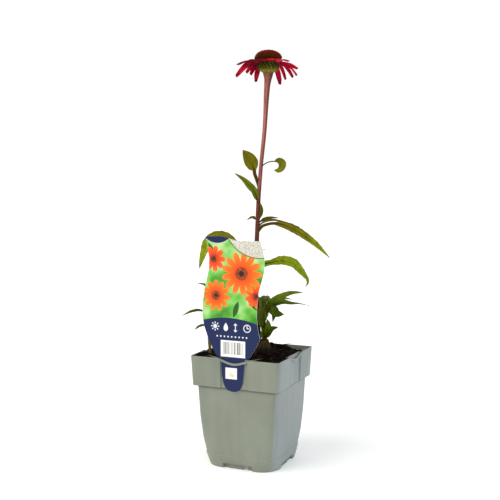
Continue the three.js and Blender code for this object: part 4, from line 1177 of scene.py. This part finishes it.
RING_TOP = 474
RAY_ROOT = 11.5
RAY_THICKNESS = 0.4
PLANT_RIGHT = (0.917, 0.4, 0)  # the plant's own +X
RAY_SWELL = [(0, 0.62), (0.33, 0.92), (0.67, 1), (0.84, 0.88), (1, 0.35)]
RAYS = [  # bearing, reach, drop of the tip, rise before it, width, roll in degrees
    (0, 34, 16, 0, 6.2, -36),
    (20, 32, 16.8, 0, 6.4, 46),
    (40, 28.5, 18.6, 0, 5.6, 40),
    (62, 32.5, 23.5, 0, 8, -14),
    (80, 36, 4, 1, 6.4, 0),
    (97, 37, 5, 1, 6.6, 8),
    (114, 36, 5, 1, 6.4, 0),
    (131, 23.5, 21.5, 0, 8.6, 10),
    (148, 25.5, 13.5, 0, 8, -30),
    (165, 27.5, 12, 0, 7.5, -40),
    (186, 38.5, 17.2, 1, 10, 60),
    (205, 40.5, 6.2, 3, 7, 15),
    (223, 36, 6.4, 4, 8.4, 24),
    (241, 33, 5.5, 4, 9, 10),
    (259, 32, 4.4, 4, 9, 4),
    (277, 31, 3.4, 4, 9, -2),
    (295, 33, 5, 4, 9, -10),
    (315, 33.5, 3.2, 2.5, 6, -12),
    (338, 37, 10.2, -5, 7.6, -32),
]


def ray(bearing, reach, drop, rise, width, roll):
    """One ray: a grid laid out from the head, let droop, rolled, grooved and notched."""
    turn = math.radians(bearing)
    out = Vector((math.cos(turn), math.sin(turn), 0))
    level = out.cross(Vector((0, 0, 1)))
    root = Vector((0, 0, (CUP_TOP + GAP + RING_TOP) / 2))

    def place(u, v):
        across = 2 * u - 1
        lean = math.radians(roll) * min(1, v * 1.6)
        half = reading(RAY_SWELL, v) * width / 2
        groove = -0.1 + 0.35 * math.sin(math.pi * across) ** 2 - 0.4 * across**4
        notch = -1.5 * math.cos(math.pi * across) ** 2 - 0.3 * across**4
        ripple = 0.25 * noise.noise(Vector((bearing, 4 * v, across)))
        far = RAY_ROOT + (reach - RAY_ROOT) * v + notch * v**4
        fall = (drop + rise) * v**2 - rise * v
        up = across * half * math.sin(lean) + (groove + ripple) * v - fall
        return root + out * far + level * (across * half * math.cos(lean)) + Vector((0, 0, up))

    return bent_grid(12, 24, place)


def ray_skin(name, deep, bright, dark):
    """Velvety petal skin, streaked along its length, with a painted pink sheen on its palest streaks, dark
    edges and tips, painted shade at the root under the cone's rim, and painted shadow where the cone
    leans over it."""
    made, place = new_finish(name, 0.7, 0.03)
    across, along = sheet_of(place)
    streaks = cloud(stretched(Pattern(place.socket.node.outputs["UV"]), (26, 1.6, 1)), 1, 3)
    mottle = mixed(0.5, streaks, cloud(place, 90, 3))
    # The palest, pinkish stop is a painted sheen: it stands in for the velvet's highlights.
    colour = steps_of(mottle, (0.36, deep), (0.54, bright), (0.72, tint(206, 52, 84)))
    rim = steps_of(abs(across - 0.5), (0.4, 0.0), (0.5, 0.55))
    # Dark at the tip, and at the root as painted shade under the cone's rim.
    tip = steps_of(along, (0.0, 0.8), (0.2, 0.15), (0.9, 0.0), (1.0, 0.8))
    # Painted shadow of the cone on the rays that lie under it.
    right = node("VectorMath", {0: place, 1: PLANT_RIGHT}, "Value", operation="DOT_PRODUCT")
    painted_cone_shadow = fade(right, 18.5 * MM, 14.5 * MM) * fade(axes_of(place)[2], 466 * MM, 469 * MM, 0.75)
    # Edges and tips take the dark colour, and so do the painted root shade and the painted cone shadow.
    edge = mixed(1.0, rim, tip, "LIGHTEN").math("MAXIMUM", painted_cone_shadow)
    return surfaced(made, mixed(edge, colour, dark), streaks, 0.12)


rays = gather([ray(*row) for row in RAYS], "flower_rays_petals")
rays.data.materials.append(ray_skin("ray_upper", tint(112, 2, 20), tint(194, 6, 40), tint(58, 4, 10)))
rays.data.materials.append(ray_skin("ray_under", tint(100, 2, 24), tint(190, 10, 48), tint(56, 8, 20)))
apply_modifier(
    rays, "SOLIDIFY", thickness=RAY_THICKNESS * MM, offset=0, material_offset=1, material_offset_rim=0
)
smooth(60)
rays.data.transform(head_place)
ring_profile = [
    (7.4, CUP_TOP + GAP), (14.1, CUP_TOP + GAP), (14.3, RING_TOP - 0.7), (14.1, RING_TOP), (7.4, RING_TOP),
]
ring = turned_round(ring_profile, 64, "flower_rays_ring")
ring.data.transform(head_place)
ring.data.materials.append(bark_skin("ray_roots", tint(44, 4, 4), tint(104, 10, 8)))
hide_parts("flower_rays")
for piece in (rays, ring):
    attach(piece, "root")

# ---------------------------------------------------------------- the cone
# The dome of disc florets in the middle of the head. Stiff pointed scales stand among the florets in
# two families of spirals, red-brown at their tips and green below, where the florets are still young.

CONE_HEIGHT = 11.2
CONE_RADIUS = 14.8
CONE_LIFT = 1.2
DOME_FOOT, DOME_RISE = RING_TOP + GAP + CONE_LIFT, CONE_HEIGHT - CONE_LIFT
SCALES = 430
GOLDEN_TURN = math.radians(137.508)


def cone_scale():
    """One stiff scale, a millimetre long: a six-sided spike that swells a little under its tip."""
    return turned_round([(0.13, 0), (0.2, 0.4), (0.15, 0.7), (0.02, 1)], 6, "scale")


def golden_ways(count, cover):
    """Ways out of a dome, spread evenly by the golden angle; a cover of 1 makes it half a ball."""
    ways = []
    for i in range(count):
        fall = math.acos(1 - (i + 0.5) / count * cover)
        turn = i * GOLDEN_TURN
        out = math.sin(fall)
        ways.append(Vector((out * math.cos(turn), out * math.sin(turn), math.cos(fall))))
    return ways


def cone_places(dice):
    """Where the cone's scales stand on its dome; they are shortest at the very top."""
    places = []
    for i, out in enumerate(golden_ways(SCALES, 0.95)):
        at = Vector((out.x * CONE_RADIUS, out.y * CONE_RADIUS, DOME_FOOT + out.z * DOME_RISE))
        way = Vector((out.x, out.y, out.z + 0.5)).normalized()
        long = (3.1 - 0.8 * (1 - (i + 0.5) / SCALES) ** 4) * dice.uniform(0.92, 1.06)
        places.append(head_place @ standing(at - way * 1.1, way, 3.1, long))
    return places


def cone_brown():
    """Green between the scales, red-brown on their tips, and redder towards the top."""
    made, place = new_finish("cone_brown", 0.65, 0.06)
    middle = head_place @ Vector((0, 0, DOME_FOOT * MM))
    far = far_from(place, middle, (1, 1, CONE_RADIUS / DOME_RISE))
    out = fade(far, CONE_RADIUS * MM, (CONE_RADIUS + 2.6) * MM)
    low = steps_of(out, (0.1, tint(60, 24, 4)), (0.45, tint(94, 62, 8)), (0.8, tint(132, 38, 8)))
    top = steps_of(out, (0.1, tint(66, 14, 6)), (0.5, tint(126, 28, 14)), (0.9, tint(156, 58, 40)))
    high = fade(axes_of(place)[2], DOME_FOOT * MM, (DOME_FOOT + DOME_RISE) * MM)
    where = cloud(place, 330, 2) * 0.5 + high
    colour = mixed(steps_of(where, (0.45, 0.0), (0.95, 1.0)), low, top)
    return surfaced(made, colour, cloud(place, 1800, 3), 0.1)


dome_profile = [(6.4, CUP_TOP + GAP), (6.4, RING_TOP + GAP), (CONE_RADIUS - 0.6, RING_TOP + GAP)]
for step in range(10):
    lift = math.radians(step * 9.6)
    dome_profile.append((CONE_RADIUS * math.cos(lift), DOME_FOOT + DOME_RISE * math.sin(lift)))
cone = turned_round(dome_profile, 56, "flower_cone_dome")
cone.data.transform(head_place)
smooth(50)
scales = copies(cone_scale(), cone_places(random.Random(8)), "flower_cone_scales")
smooth(50)
cone_material = cone_brown()
for piece in (cone, scales):
    piece.data.materials.append(cone_material)
    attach(piece, "root")
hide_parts("flower_cone")

# ---------------------------------------------------------------- the right-hand shoot
# A short green side shoot with a fan of young leaves and, at its tip, a flower bud: a button of
# unopened florets in a ring of upright bracts.

RIGHT_SHOOT_PATH = [
    (14, -1.5, 112),
    (14, -1.5, 142),
    (13.6, -2, 150),
    (13.1, -3, 165),
    (12.7, -5, 182),
    (12.8, -6, 191.4),
]
RIGHT_SHOOT_RADII = [(0, 2.1), (0.6, 1.8), (0.9, 1.8), (1, 2.6)]
RIGHT_SHOOT_LEAVES = [
    dict(width=9.4, stalk=0.16, face=(0, -0.6, 0.8), path=[
        (12.6, -4.6, 178), (14.5, -5, 184.8), (18.1, -8, 189.5), (24.6, -10, 194.5), (33.7, -12, 198.8),
        (42.3, -13, 202.1), (49.3, -14, 203.7), (58.4, -15, 204),
    ]),
    dict(width=12.6, stalk=0.12, peak=0.5, point=1.7, face=(0, -0.5, 0.9), path=[
        (12.6, -4, 172), (14.7, -4, 179.7), (21.1, -1, 185.7), (28, 2, 188.7), (36.6, 5, 189.6),
        (45.3, 7, 188.1), (55.6, 8, 187.7), (67.7, 10, 185.2),
    ]),
    dict(width=7, stalk=0.2, peak=0.65, face=(0, -0.4, 1), path=[
        (12.6, -4.2, 175), (15.1, -4, 182.3), (22.7, -4, 190.8), (30.4, -2, 194.8), (38.1, 0, 195.2),
        (46.3, 2, 193.6),
    ]),
    dict(width=12, stalk=0.36, peak=0.7, face=(0, -0.9, 0.4), fold=16, teeth=0.05, path=[
        (12.6, -4.4, 175), (15.5, -5.4, 183), (20.2, -7, 185.8), (23.9, -10, 182.3), (28, -13, 178.8),
        (36.2, -15, 178.2),
    ]),
    dict(width=6.6, stalk=0.3, face=(0.2, -1, 0.2), fold=20, teeth=0.05, path=[
        (12.7, -4.6, 178.9), (16.2, -6, 186.1), (20.8, -8, 187.6), (24, -10, 183.8), (24.7, -11, 176.9),
        (23.4, -11, 168.8),
    ]),
    dict(width=8, stalk=0.34, face=(0.4, -1, 0.2), path=[
        (13.4, -2.2, 150), (10.9, -8, 159.8), (9, -11, 170.6), (7.9, -12, 178.4), (7.5, -12, 187),
    ]),
    dict(width=5.6, stalk=0.3, face=(0.1, -1, 0.1), path=[
        (13.3, -2.6, 152), (14.5, -6, 160.5), (12.1, -9, 171.1), (11.4, -9, 178.9), (13.1, -8, 187.1),
    ]),
    dict(width=8.6, stalk=0.16, peak=1, face=(0.4, -0.8, 0.3), path=[
        (13.7, -1.8, 146), (15.3, -6, 152.6), (17.2, -10, 160), (17.8, -11, 165.6), (16.6, -11, 171.9),
    ]),
    dict(width=9, stalk=0.16, face=(0.1, -1, 0.2), path=[
        (13.7, -1.8, 146.6), (12.6, -7, 152), (13.4, -10, 157.6), (15.1, -12, 163),
    ]),
    dict(width=8, stalk=0.2, face=(0, -0.9, 0.5), fold=22, path=[
        (13.8, -1.6, 145), (16.4, -6, 150.2), (19.3, -9, 156.3), (22.7, -11, 160.3), (29.4, -13, 162.7),
    ]),
    dict(width=9, stalk=0.25, path=[
        (12.9, -2.8, 169.6), (14.7, 2, 177.2), (18, 7, 183.7), (22.3, 12, 189.1),
    ]),
]
BUD_RADIUS = 4
BUD_FLORETS = 90
BUD_RINGS = [(11, 1.2, 5.6, 46), (10, 2.0, 6.2, 62)]  # how many bracts, height, length, lean in degrees

YOUNG_AGES = [
    (0.14, tint(72, 90, 4)),
    (0.158, tint(82, 104, 4)),
    (0.175, tint(62, 78, 4)),
    (0.186, tint(72, 92, 6)),
    (0.193, tint(96, 122, 8)),
    (0.205, tint(110, 130, 16)),
]
young_leaves = leaf_finishes("young_leaf", YOUNG_AGES, tint(112, 124, 40), 0.35)
young_stem = stem_finish(
    "young_stem",
    [(0.125, tint(70, 48, 22)), (0.15, tint(76, 52, 20)), (0.19, tint(84, 80, 26))],
    tint(44, 30, 12),
)


def bud():
    """The bud at the shoot's tip: its button, its florets and its bracts."""
    place = plant_place @ Matrix.Translation(Vector(RIGHT_SHOOT_PATH[-1]) * MM)
    button = pick_up("uv_sphere", segments=32, ring_count=16, radius=(BUD_RADIUS - 0.5) * MM)
    button.data.transform(place @ Matrix.Translation((0, 0, BUD_RADIUS * MM)))
    button.name = "right_shoot_bud"
    bpy.ops.object.shade_smooth()
    spots = []
    for way in golden_ways(BUD_FLORETS, 1.25):
        at = way * (BUD_RADIUS - 1.0) + Vector((0, 0, BUD_RADIUS))
        spots.append(place @ standing(at, way, 2.1, 1.3))
    florets = copies(cone_scale(), spots, "right_shoot_bud_florets")
    smooth(50)
    spots = []
    for row, (count, height, length, lean) in enumerate(BUD_RINGS):
        for _, spot in ring_places(place, row, count, 2.9, height, lean):
            spots.append(spot @ Matrix.Scale(length, 4))
    ring = copies(bract(), spots, "right_shoot_bud_bracts")
    smooth(60)
    return button, florets, ring


right_pieces = leafy_stem(
    "right_shoot", RIGHT_SHOOT_PATH, RIGHT_SHOOT_RADII, 50, 8, RIGHT_SHOOT_LEAVES, young_stem, young_leaves,
    (300, 0.9, 0.4),
)
bud_button, bud_florets, bud_bracts = bud()
bud_button.data.materials.append(bark_skin("bud_core", tint(80, 76, 44), tint(118, 104, 70)))
bud_florets.data.materials.append(bark_skin("bud_florets", tint(104, 96, 66), tint(168, 138, 112), 2.0))
bud_bracts.data.materials.append(
    leaf_green("bud_bract", [(0.18, tint(66, 92, 20)), (0.21, tint(108, 130, 56))], tint(136, 148, 78), 0.6)
)
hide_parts("right_shoot")
for piece in (*right_pieces, bud_button, bud_florets, bud_bracts):
    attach(piece, "root")

# ---------------------------------------------------------------- the left-hand shoot
# A thin young shoot of green plant tissue that stands by itself near the rim, with five narrow leaves.
# It comes up through the soil, and is made in the same way as the right-hand shoot, without a bud.

LEFT_SHOOT_PATH = [
    (-51, -3, 112),
    (-51.2, -3, 134),
    (-52.1, -2, 144),
    (-52.7, 1, 158),
    (-53.2, 4, 174.5),
    (-52.9, 6, 188.7),
    (-52.6, 6, 198),
]
LEFT_SHOOT_RADII = [(0, 1.9), (0.6, 1.6), (1, 1.2)]
LEFT_SHOOT_LEAVES = [
    dict(width=5, stalk=0.2, face=(0, -0.5, 1), path=[
        (-53.1, 4, 173), (-55.4, 2, 178), (-60.6, -1, 180.4), (-67, -4, 181.1), (-73.4, -6, 179.9),
        (-78, -8, 178.4), (-83.6, -9, 175.9),
    ]),
    dict(width=4.5, face=(0, -0.5, 1), path=[
        (-52.7, 1, 157), (-55.5, 0, 161.7), (-58.9, -1, 162.9), (-63.6, -2, 161.8), (-69.5, -3, 158.2),
    ]),
    dict(width=4.5, stalk=0.3, face=(0, -0.4, 1), path=[
        (-52.6, 6, 196.5), (-53.8, 7, 205.4), (-57.5, 9, 210), (-61.8, 11, 211.2), (-66.1, 12, 211.8),
    ]),
    dict(width=12, path=[(-53, 2.6, 167), (-51, 12, 181), (-53, 25, 188), (-58, 38, 183)]),
    dict(width=12, face=(0, -0.3, 1), path=[(-52.9, 6, 186), (-47, 3, 199), (-38, 0, 207), (-25, -2, 209)]),
]

left_stem = stem_finish("left_stem", [(0.125, tint(98, 84, 36)), (0.165, tint(114, 120, 36))])
left_pieces = leafy_stem(
    "left_shoot", LEFT_SHOOT_PATH, LEFT_SHOOT_RADII, 50, 8, LEFT_SHOOT_LEAVES, left_stem, young_leaves,
    (260, 0.8, 0.25),
)
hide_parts("left_shoot")
for piece in left_pieces:
    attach(piece, "root")

# ---------------------------------------------------------------- the basal leaves
# Four large toothed leaves on long stalks, which rise from the soil round the crown and arch over.
# Each has its blade and its stalk, made in the same way as those of the flower stem.

BASAL_LEAVES = [
    dict(width=21, stalk=0.42, path=[
        (-1, 13, 112), (-1, 13, 138), (-5, 20, 172), (-15, 34, 198), (-28, 50, 204), (-42, 64, 193),
    ]),
    dict(width=20, stalk=0.42, path=[
        (12, 15, 112), (12, 15, 138), (12, 22, 166), (12, 37, 187), (10, 54, 189), (8, 70, 176),
    ]),
    dict(width=19, stalk=0.42, face=(0, -0.2, 1), path=[
        (-6, 3, 112), (-6, 3, 138), (-10, 2, 166), (-20, 0, 186), (-33, -3, 192), (-44, -6, 184),
    ]),
    dict(width=18, stalk=0.42, face=(0, -0.4, 1), path=[
        (2, -11, 112), (2, -11, 138), (-1, -13, 168), (-9, -17, 198), (-20, -21, 220), (-33, -24, 225),
    ]),
]

basal_ages = [(0.15, tint(74, 92, 14)), (0.22, tint(96, 114, 20))]
basal_finishes = leaf_finishes("basal_leaf", basal_ages, tint(134, 144, 62))
for number, spec in enumerate(BASAL_LEAVES, 1):
    name = f"basal_leaf_{number}"
    basal_blade, basal_stalk = leaf_spray(name, [spec], basal_finishes, leaf_stalk_skin)
    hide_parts(name)
    for piece in (basal_blade, basal_stalk):
        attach(piece, "root")

# ---------------------------------------------------------------- the plant label
# A printed plastic card. Its tongue hangs behind the strap of the pot's rim, and the card bows away
# from the plant above it. The front is printed with flowers, care signs and bars; the back is plain.

LABEL_FOOT, LABEL_HEAD = 94, 270
CARD_FREE = 140  # height above the rim over which the card bows
CARD_SHOULDER = 247  # height from which the sides run into the waved top edge
LABEL_EDGES = [  # height, left edge, right edge
    (94, -3.4, 0.6),
    (95, -8, 5),
    (98.5, -11.5, 8.6),
    (104, -14, 10.8),
    (112, -15.4, 11.8),
    (132.2, -16.4, 13.2),
    (134, -22.2, 18.8),
    (142, -27.2, 23.8),
    (156.5, -34, 31.8),
    (168, -38.4, 29.2),
    (181, -40.6, 27.7),
    (196, -40, 28.2),
    (212, -37.8, 30.3),
    (223, -35, 33.5),
    (234, -32.2, 36.3),
    (247, -32, 36.6),
    (258, -34.6, 34.4),
    (270, -37.2, 31),
]
LABEL_TOP = [(-37, 270.8), (-18, 271.8), (-9, 270.2), (2, 267.3), (31, 267.1)]
LABEL_Y = 53.3
LABEL_THICK = 0.45
CARD_COLUMNS, CARD_ROWS = 28, 120


def label_place(u, v):
    """A place on the card: its outline by height, bowed away from the plant, with a waved top edge."""
    height = LABEL_FOOT + (LABEL_HEAD - LABEL_FOOT) * v
    left = reading([(z, x) for z, x, _ in LABEL_EDGES], height)
    right = reading([(z, x) for z, _, x in LABEL_EDGES], height)
    x = left + (right - left) * u
    free = max(0, height - POT_HEIGHT) / CARD_FREE
    bow = free * (0.0012 * x * x + free)
    share = max(0, (height - CARD_SHOULDER) / (LABEL_HEAD - CARD_SHOULDER))
    return Vector((x, bow - LABEL_Y, height + share * (reading(LABEL_TOP, x) - LABEL_HEAD)))


def spot_mask(distance, edge, soft=0.25):
    """1 within an edge and 0 outside it; all in millimetres."""
    return fade(distance - edge, soft, -soft)


def printed_front():
    """The card's print, drawn on its place in millimetres: x across it and z up it."""
    made, place = new_finish("label_print", 0.4, 0.2)
    x, _, z = (axis / MM for axis in axes_of(place))

    def distance(dx, dz):
        return (dx**2.0 + dz**2.0).math("SQRT")

    def disc(cx, cz, radius, soft=0.25):
        return spot_mask(distance(x - cx, z - cz), radius, soft)

    def box(cx, cz, half_x, half_z, soft=0.2):
        return spot_mask(abs(x - cx), half_x, soft) * spot_mask(abs(z - cz), half_z, soft)

    def bloom(under, cx, cz, radius, petals, phase, petal_colours):
        wave = (z - cz).math("ARCTAN2", x - cx) * (petals / 2) + phase
        lobe = abs(wave.math("COSINE"))
        edge = lobe**0.55 * (radius * 0.5) + radius * 0.5
        far = distance(x - cx, z - cz)
        shade = (wave * 6.0).math("COSINE") * 0.12 + far / radius
        made = mixed(spot_mask(far, edge), under, steps_of(shade, *petal_colours))
        made = mixed(disc(cx, cz, radius * 0.3, 0.8), made, heart)
        return mixed(disc(cx, cz, radius * 0.13, 1.4), made, tint(56, 22, 12))

    ground = steps_of(
        cloud(place, 45, 2), (0.3, tint(58, 128, 34)), (0.5, tint(110, 186, 74)), (0.68, tint(186, 216, 150))
    )
    foliage = ((-31, 206, 13, 0.9), (24, 196, 12, -0.8), (2, 189, 10, 0.3), (-29, 256, 9, -0.5))
    for cx, cz, long, lean in foliage:
        dx, dz = x - cx, z - cz
        c, s = math.cos(lean), math.sin(lean)
        share = abs((dx * s + dz * c) / long)
        width = long * 0.32 - share**2.0 * (long * 0.32)
        ground = mixed(spot_mask(abs(dx * c - dz * s), width), ground, tint(34, 96, 30))
    orange = [(0.2, tint(214, 60, 12)), (0.55, tint(255, 98, 26)), (1.0, tint(255, 132, 40))]
    red = [(0.2, tint(196, 44, 10)), (0.55, tint(250, 78, 28)), (1.0, tint(255, 112, 44))]
    heart = steps_of(cloud(place, 900, 2), (0.4, tint(84, 32, 14)), (0.6, tint(176, 84, 40)))
    ground = bloom(ground, 27, 205, 14, 9, 0.4, red)
    ground = bloom(ground, -26, 246, 15, 9, 0.1, red)
    ground = bloom(ground, -23, 204, 18, 11, 0.7, orange)
    ground = bloom(ground, 9, 230, 25, 13, 0.2, orange)

    # speckled and dark discs that run off the top edge, and the dark one that fills the foot
    flecks = steps_of(cloud(place, 620, 3), (0.42, tint(184, 179, 164)), (0.56, tint(212, 208, 196)))
    ground = mixed(disc(30, 291, 43.6, 0.4), ground, tint(92, 84, 40))
    ground = mixed(disc(30, 291, 42.5, 0.4), ground, flecks)
    ground = mixed(disc(-22, 288, 24.6, 0.3), ground, tint(198, 198, 190))
    ground = mixed(disc(-22, 288, 24.0, 0.3), ground, tint(22, 34, 74))
    ground = mixed(disc(-8, 58, 121.0, 0.3), ground, tint(26, 38, 78))

    # the care signs, a sun, a drop, a height arrow and a clock, over a row of dots
    beams = ((z - 168.5).math("ARCTAN2", x + 24.0) * 8.0).math("COSINE")
    beams = steps_of(beams, (0.3, 0.0), (0.5, 1.0)) * disc(-24, 168.5, 5.2) * (1.0 - disc(-24, 168.5, 3.2))
    up = ((z - 163.6) / 10.0).math("MAXIMUM", 0.0)
    drop = up.math("SQRT") * (1.0 - up) * 8.0 - 0.3
    arrow = 5.2 - abs(z - 168)
    dots = distance((x + 26.0).math("PINGPONG", 2.3), z - 157.4)
    signs = disc(-24, 168.5, 2.3)
    for mark in (
        beams,
        spot_mask(abs(x + 10.5), drop),
        spot_mask(abs(x - 1.6), arrow) * arrow.math("LESS_THAN", 2.5),
        box(1.6, 168, 0.5, 4),
        disc(16, 168, 4.6) - disc(16, 168, 3.6),
        box(16, 169.4, 0.5, 1.8),
        box(17.2, 168, 1.5, 0.5),
        spot_mask(dots, 0.95) * box(-3, 157.4, 20.7, 2),
    ):
        signs = signs.math("MAXIMUM", mark)
    ground = mixed(signs, ground, tint(226, 228, 232))

    # a pale box that holds a band of bars
    pitch = x / 1.9
    wide = node("TexWhiteNoise", {"W": pitch.math("FLOOR")}, "Value", noise_dimensions="1D") * 0.5 + 0.25
    bars = pitch.math("FRACT").math("LESS_THAN", wide) * box(-1.6, 144, 11.8, 7)
    ground = mixed(box(-1.6, 143.5, 15.3, 9.5), ground, tint(238, 238, 236))
    ground = mixed(bars, ground, tint(96, 86, 66))

    # a pale box on the tongue, stained by the soil
    stain = steps_of(cloud(place, 130, 3), (0.5, 0.0), (0.6, 0.6)) * box(-3.8, 115, 4.6, 4.4, 1.2)
    ground = mixed(box(-3.8, 115, 7.2, 6.5), ground, tint(236, 234, 228))
    ground = mixed(stain, ground, tint(198, 178, 92))
    return surfaced(made, ground, cloud(place, 500, 2), 0.015)


def plain_back():
    """The card's unprinted back and edge: white plastic with a faint grain."""
    made, place = new_finish("label_back", 0.45)
    grain = cloud(stretched(place, (1, 1, 0.2)), 400, 3)
    white = steps_of(grain, (0.3, tint(222, 223, 224)), (0.7, tint(238, 238, 238)))
    return surfaced(made, white, grain, 0.02)


label = bent_grid(CARD_COLUMNS, CARD_ROWS, label_place)
label.name = "label_card"
label.data.materials.append(printed_front())
label.data.materials.append(plain_back())
apply_modifier(
    label, "SOLIDIFY", thickness=LABEL_THICK * MM, offset=0, material_offset=1, material_offset_rim=1
)
smooth(40)
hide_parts("plant_label")
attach(label, "root")

# ---------------------------------------------------------------- the stage
# A pale floor that runs far back, a white sky that dims overhead, and two broad distant lamps: a warm
# one from the front left and a weaker, cooler one from the right. The camera stands in front.

floor = pick_up("plane", size=60, location=(0, 0, 0))
floor.name = "floor"
pale_floor, _ = new_finish("pale_floor", 1.0, 0.0)
shader = pale_floor.node_tree.nodes["Principled BSDF"]
shader.inputs["Base Color"].default_value = (0.96, 0.96, 0.96, 1)
shader.inputs["Emission Color"].default_value = (1, 1, 1, 1)
shader.inputs["Emission Strength"].default_value = 0.2
floor.data.materials.append(pale_floor)

bpy.context.scene.view_settings.view_transform = "Standard"
sky = bpy.data.worlds.new("studio")
bpy.context.scene.world = sky
sky.use_nodes = True
SKY_STEPS = [(0.0, 1.0), (0.3, 1.0), (0.6, 0.62), (1.0, 0.5)]  # sine of the height, brightness
way_up = Pattern(sky.node_tree.nodes.new("ShaderNodeTexCoord").outputs["Generated"])
glow = steps_of(axes_of(way_up)[2], *SKY_STEPS)
backdrop = sky.node_tree.nodes["Background"]
sky.node_tree.links.new(glow.socket, backdrop.inputs["Color"])
backdrop.inputs["Strength"].default_value = 1.03


def soft_sun(name, strength, spread, colour, towards):
    """A broad distant lamp, given the way from the plant towards it."""
    lamp = bpy.data.lights.new(name, "SUN")
    lamp.energy = strength
    lamp.angle = math.radians(spread)
    lamp.color = colour
    holder = bpy.data.objects.new(name, lamp)
    bpy.context.collection.objects.link(holder)
    holder.rotation_euler = Vector(towards).to_track_quat("Z", "Y").to_euler()


soft_sun("key", 1.5, 50, (1, 0.985, 0.96), (-0.6, -0.75, 0.8))
soft_sun("fill", 0.6, 70, (0.78, 0.9, 1), (0.9, -0.25, 0.45))

CAMERA_YAW, CAMERA_PITCH = math.radians(-23.75), math.radians(-4.5)
CAMERA_BEARING, CAMERA_DISTANCE, CAMERA_HEIGHT = math.radians(23.55), 1.006, 0.332
FOCAL_LENGTH = 61.3

camera = bpy.data.objects.new("camera", bpy.data.cameras.new("camera"))
bpy.context.collection.objects.link(camera)
camera.data.lens = FOCAL_LENGTH
camera.data.sensor_width = 36
camera.location = (
    CAMERA_DISTANCE * math.sin(CAMERA_BEARING),
    -CAMERA_DISTANCE * math.cos(CAMERA_BEARING),
    CAMERA_HEIGHT,
)
looking = Vector((
    math.sin(CAMERA_YAW) * math.cos(CAMERA_PITCH),
    math.cos(CAMERA_YAW) * math.cos(CAMERA_PITCH),
    math.sin(CAMERA_PITCH),
))
camera.rotation_euler = looking.to_track_quat("-Z", "Y").to_euler()
bpy.context.scene.camera = camera
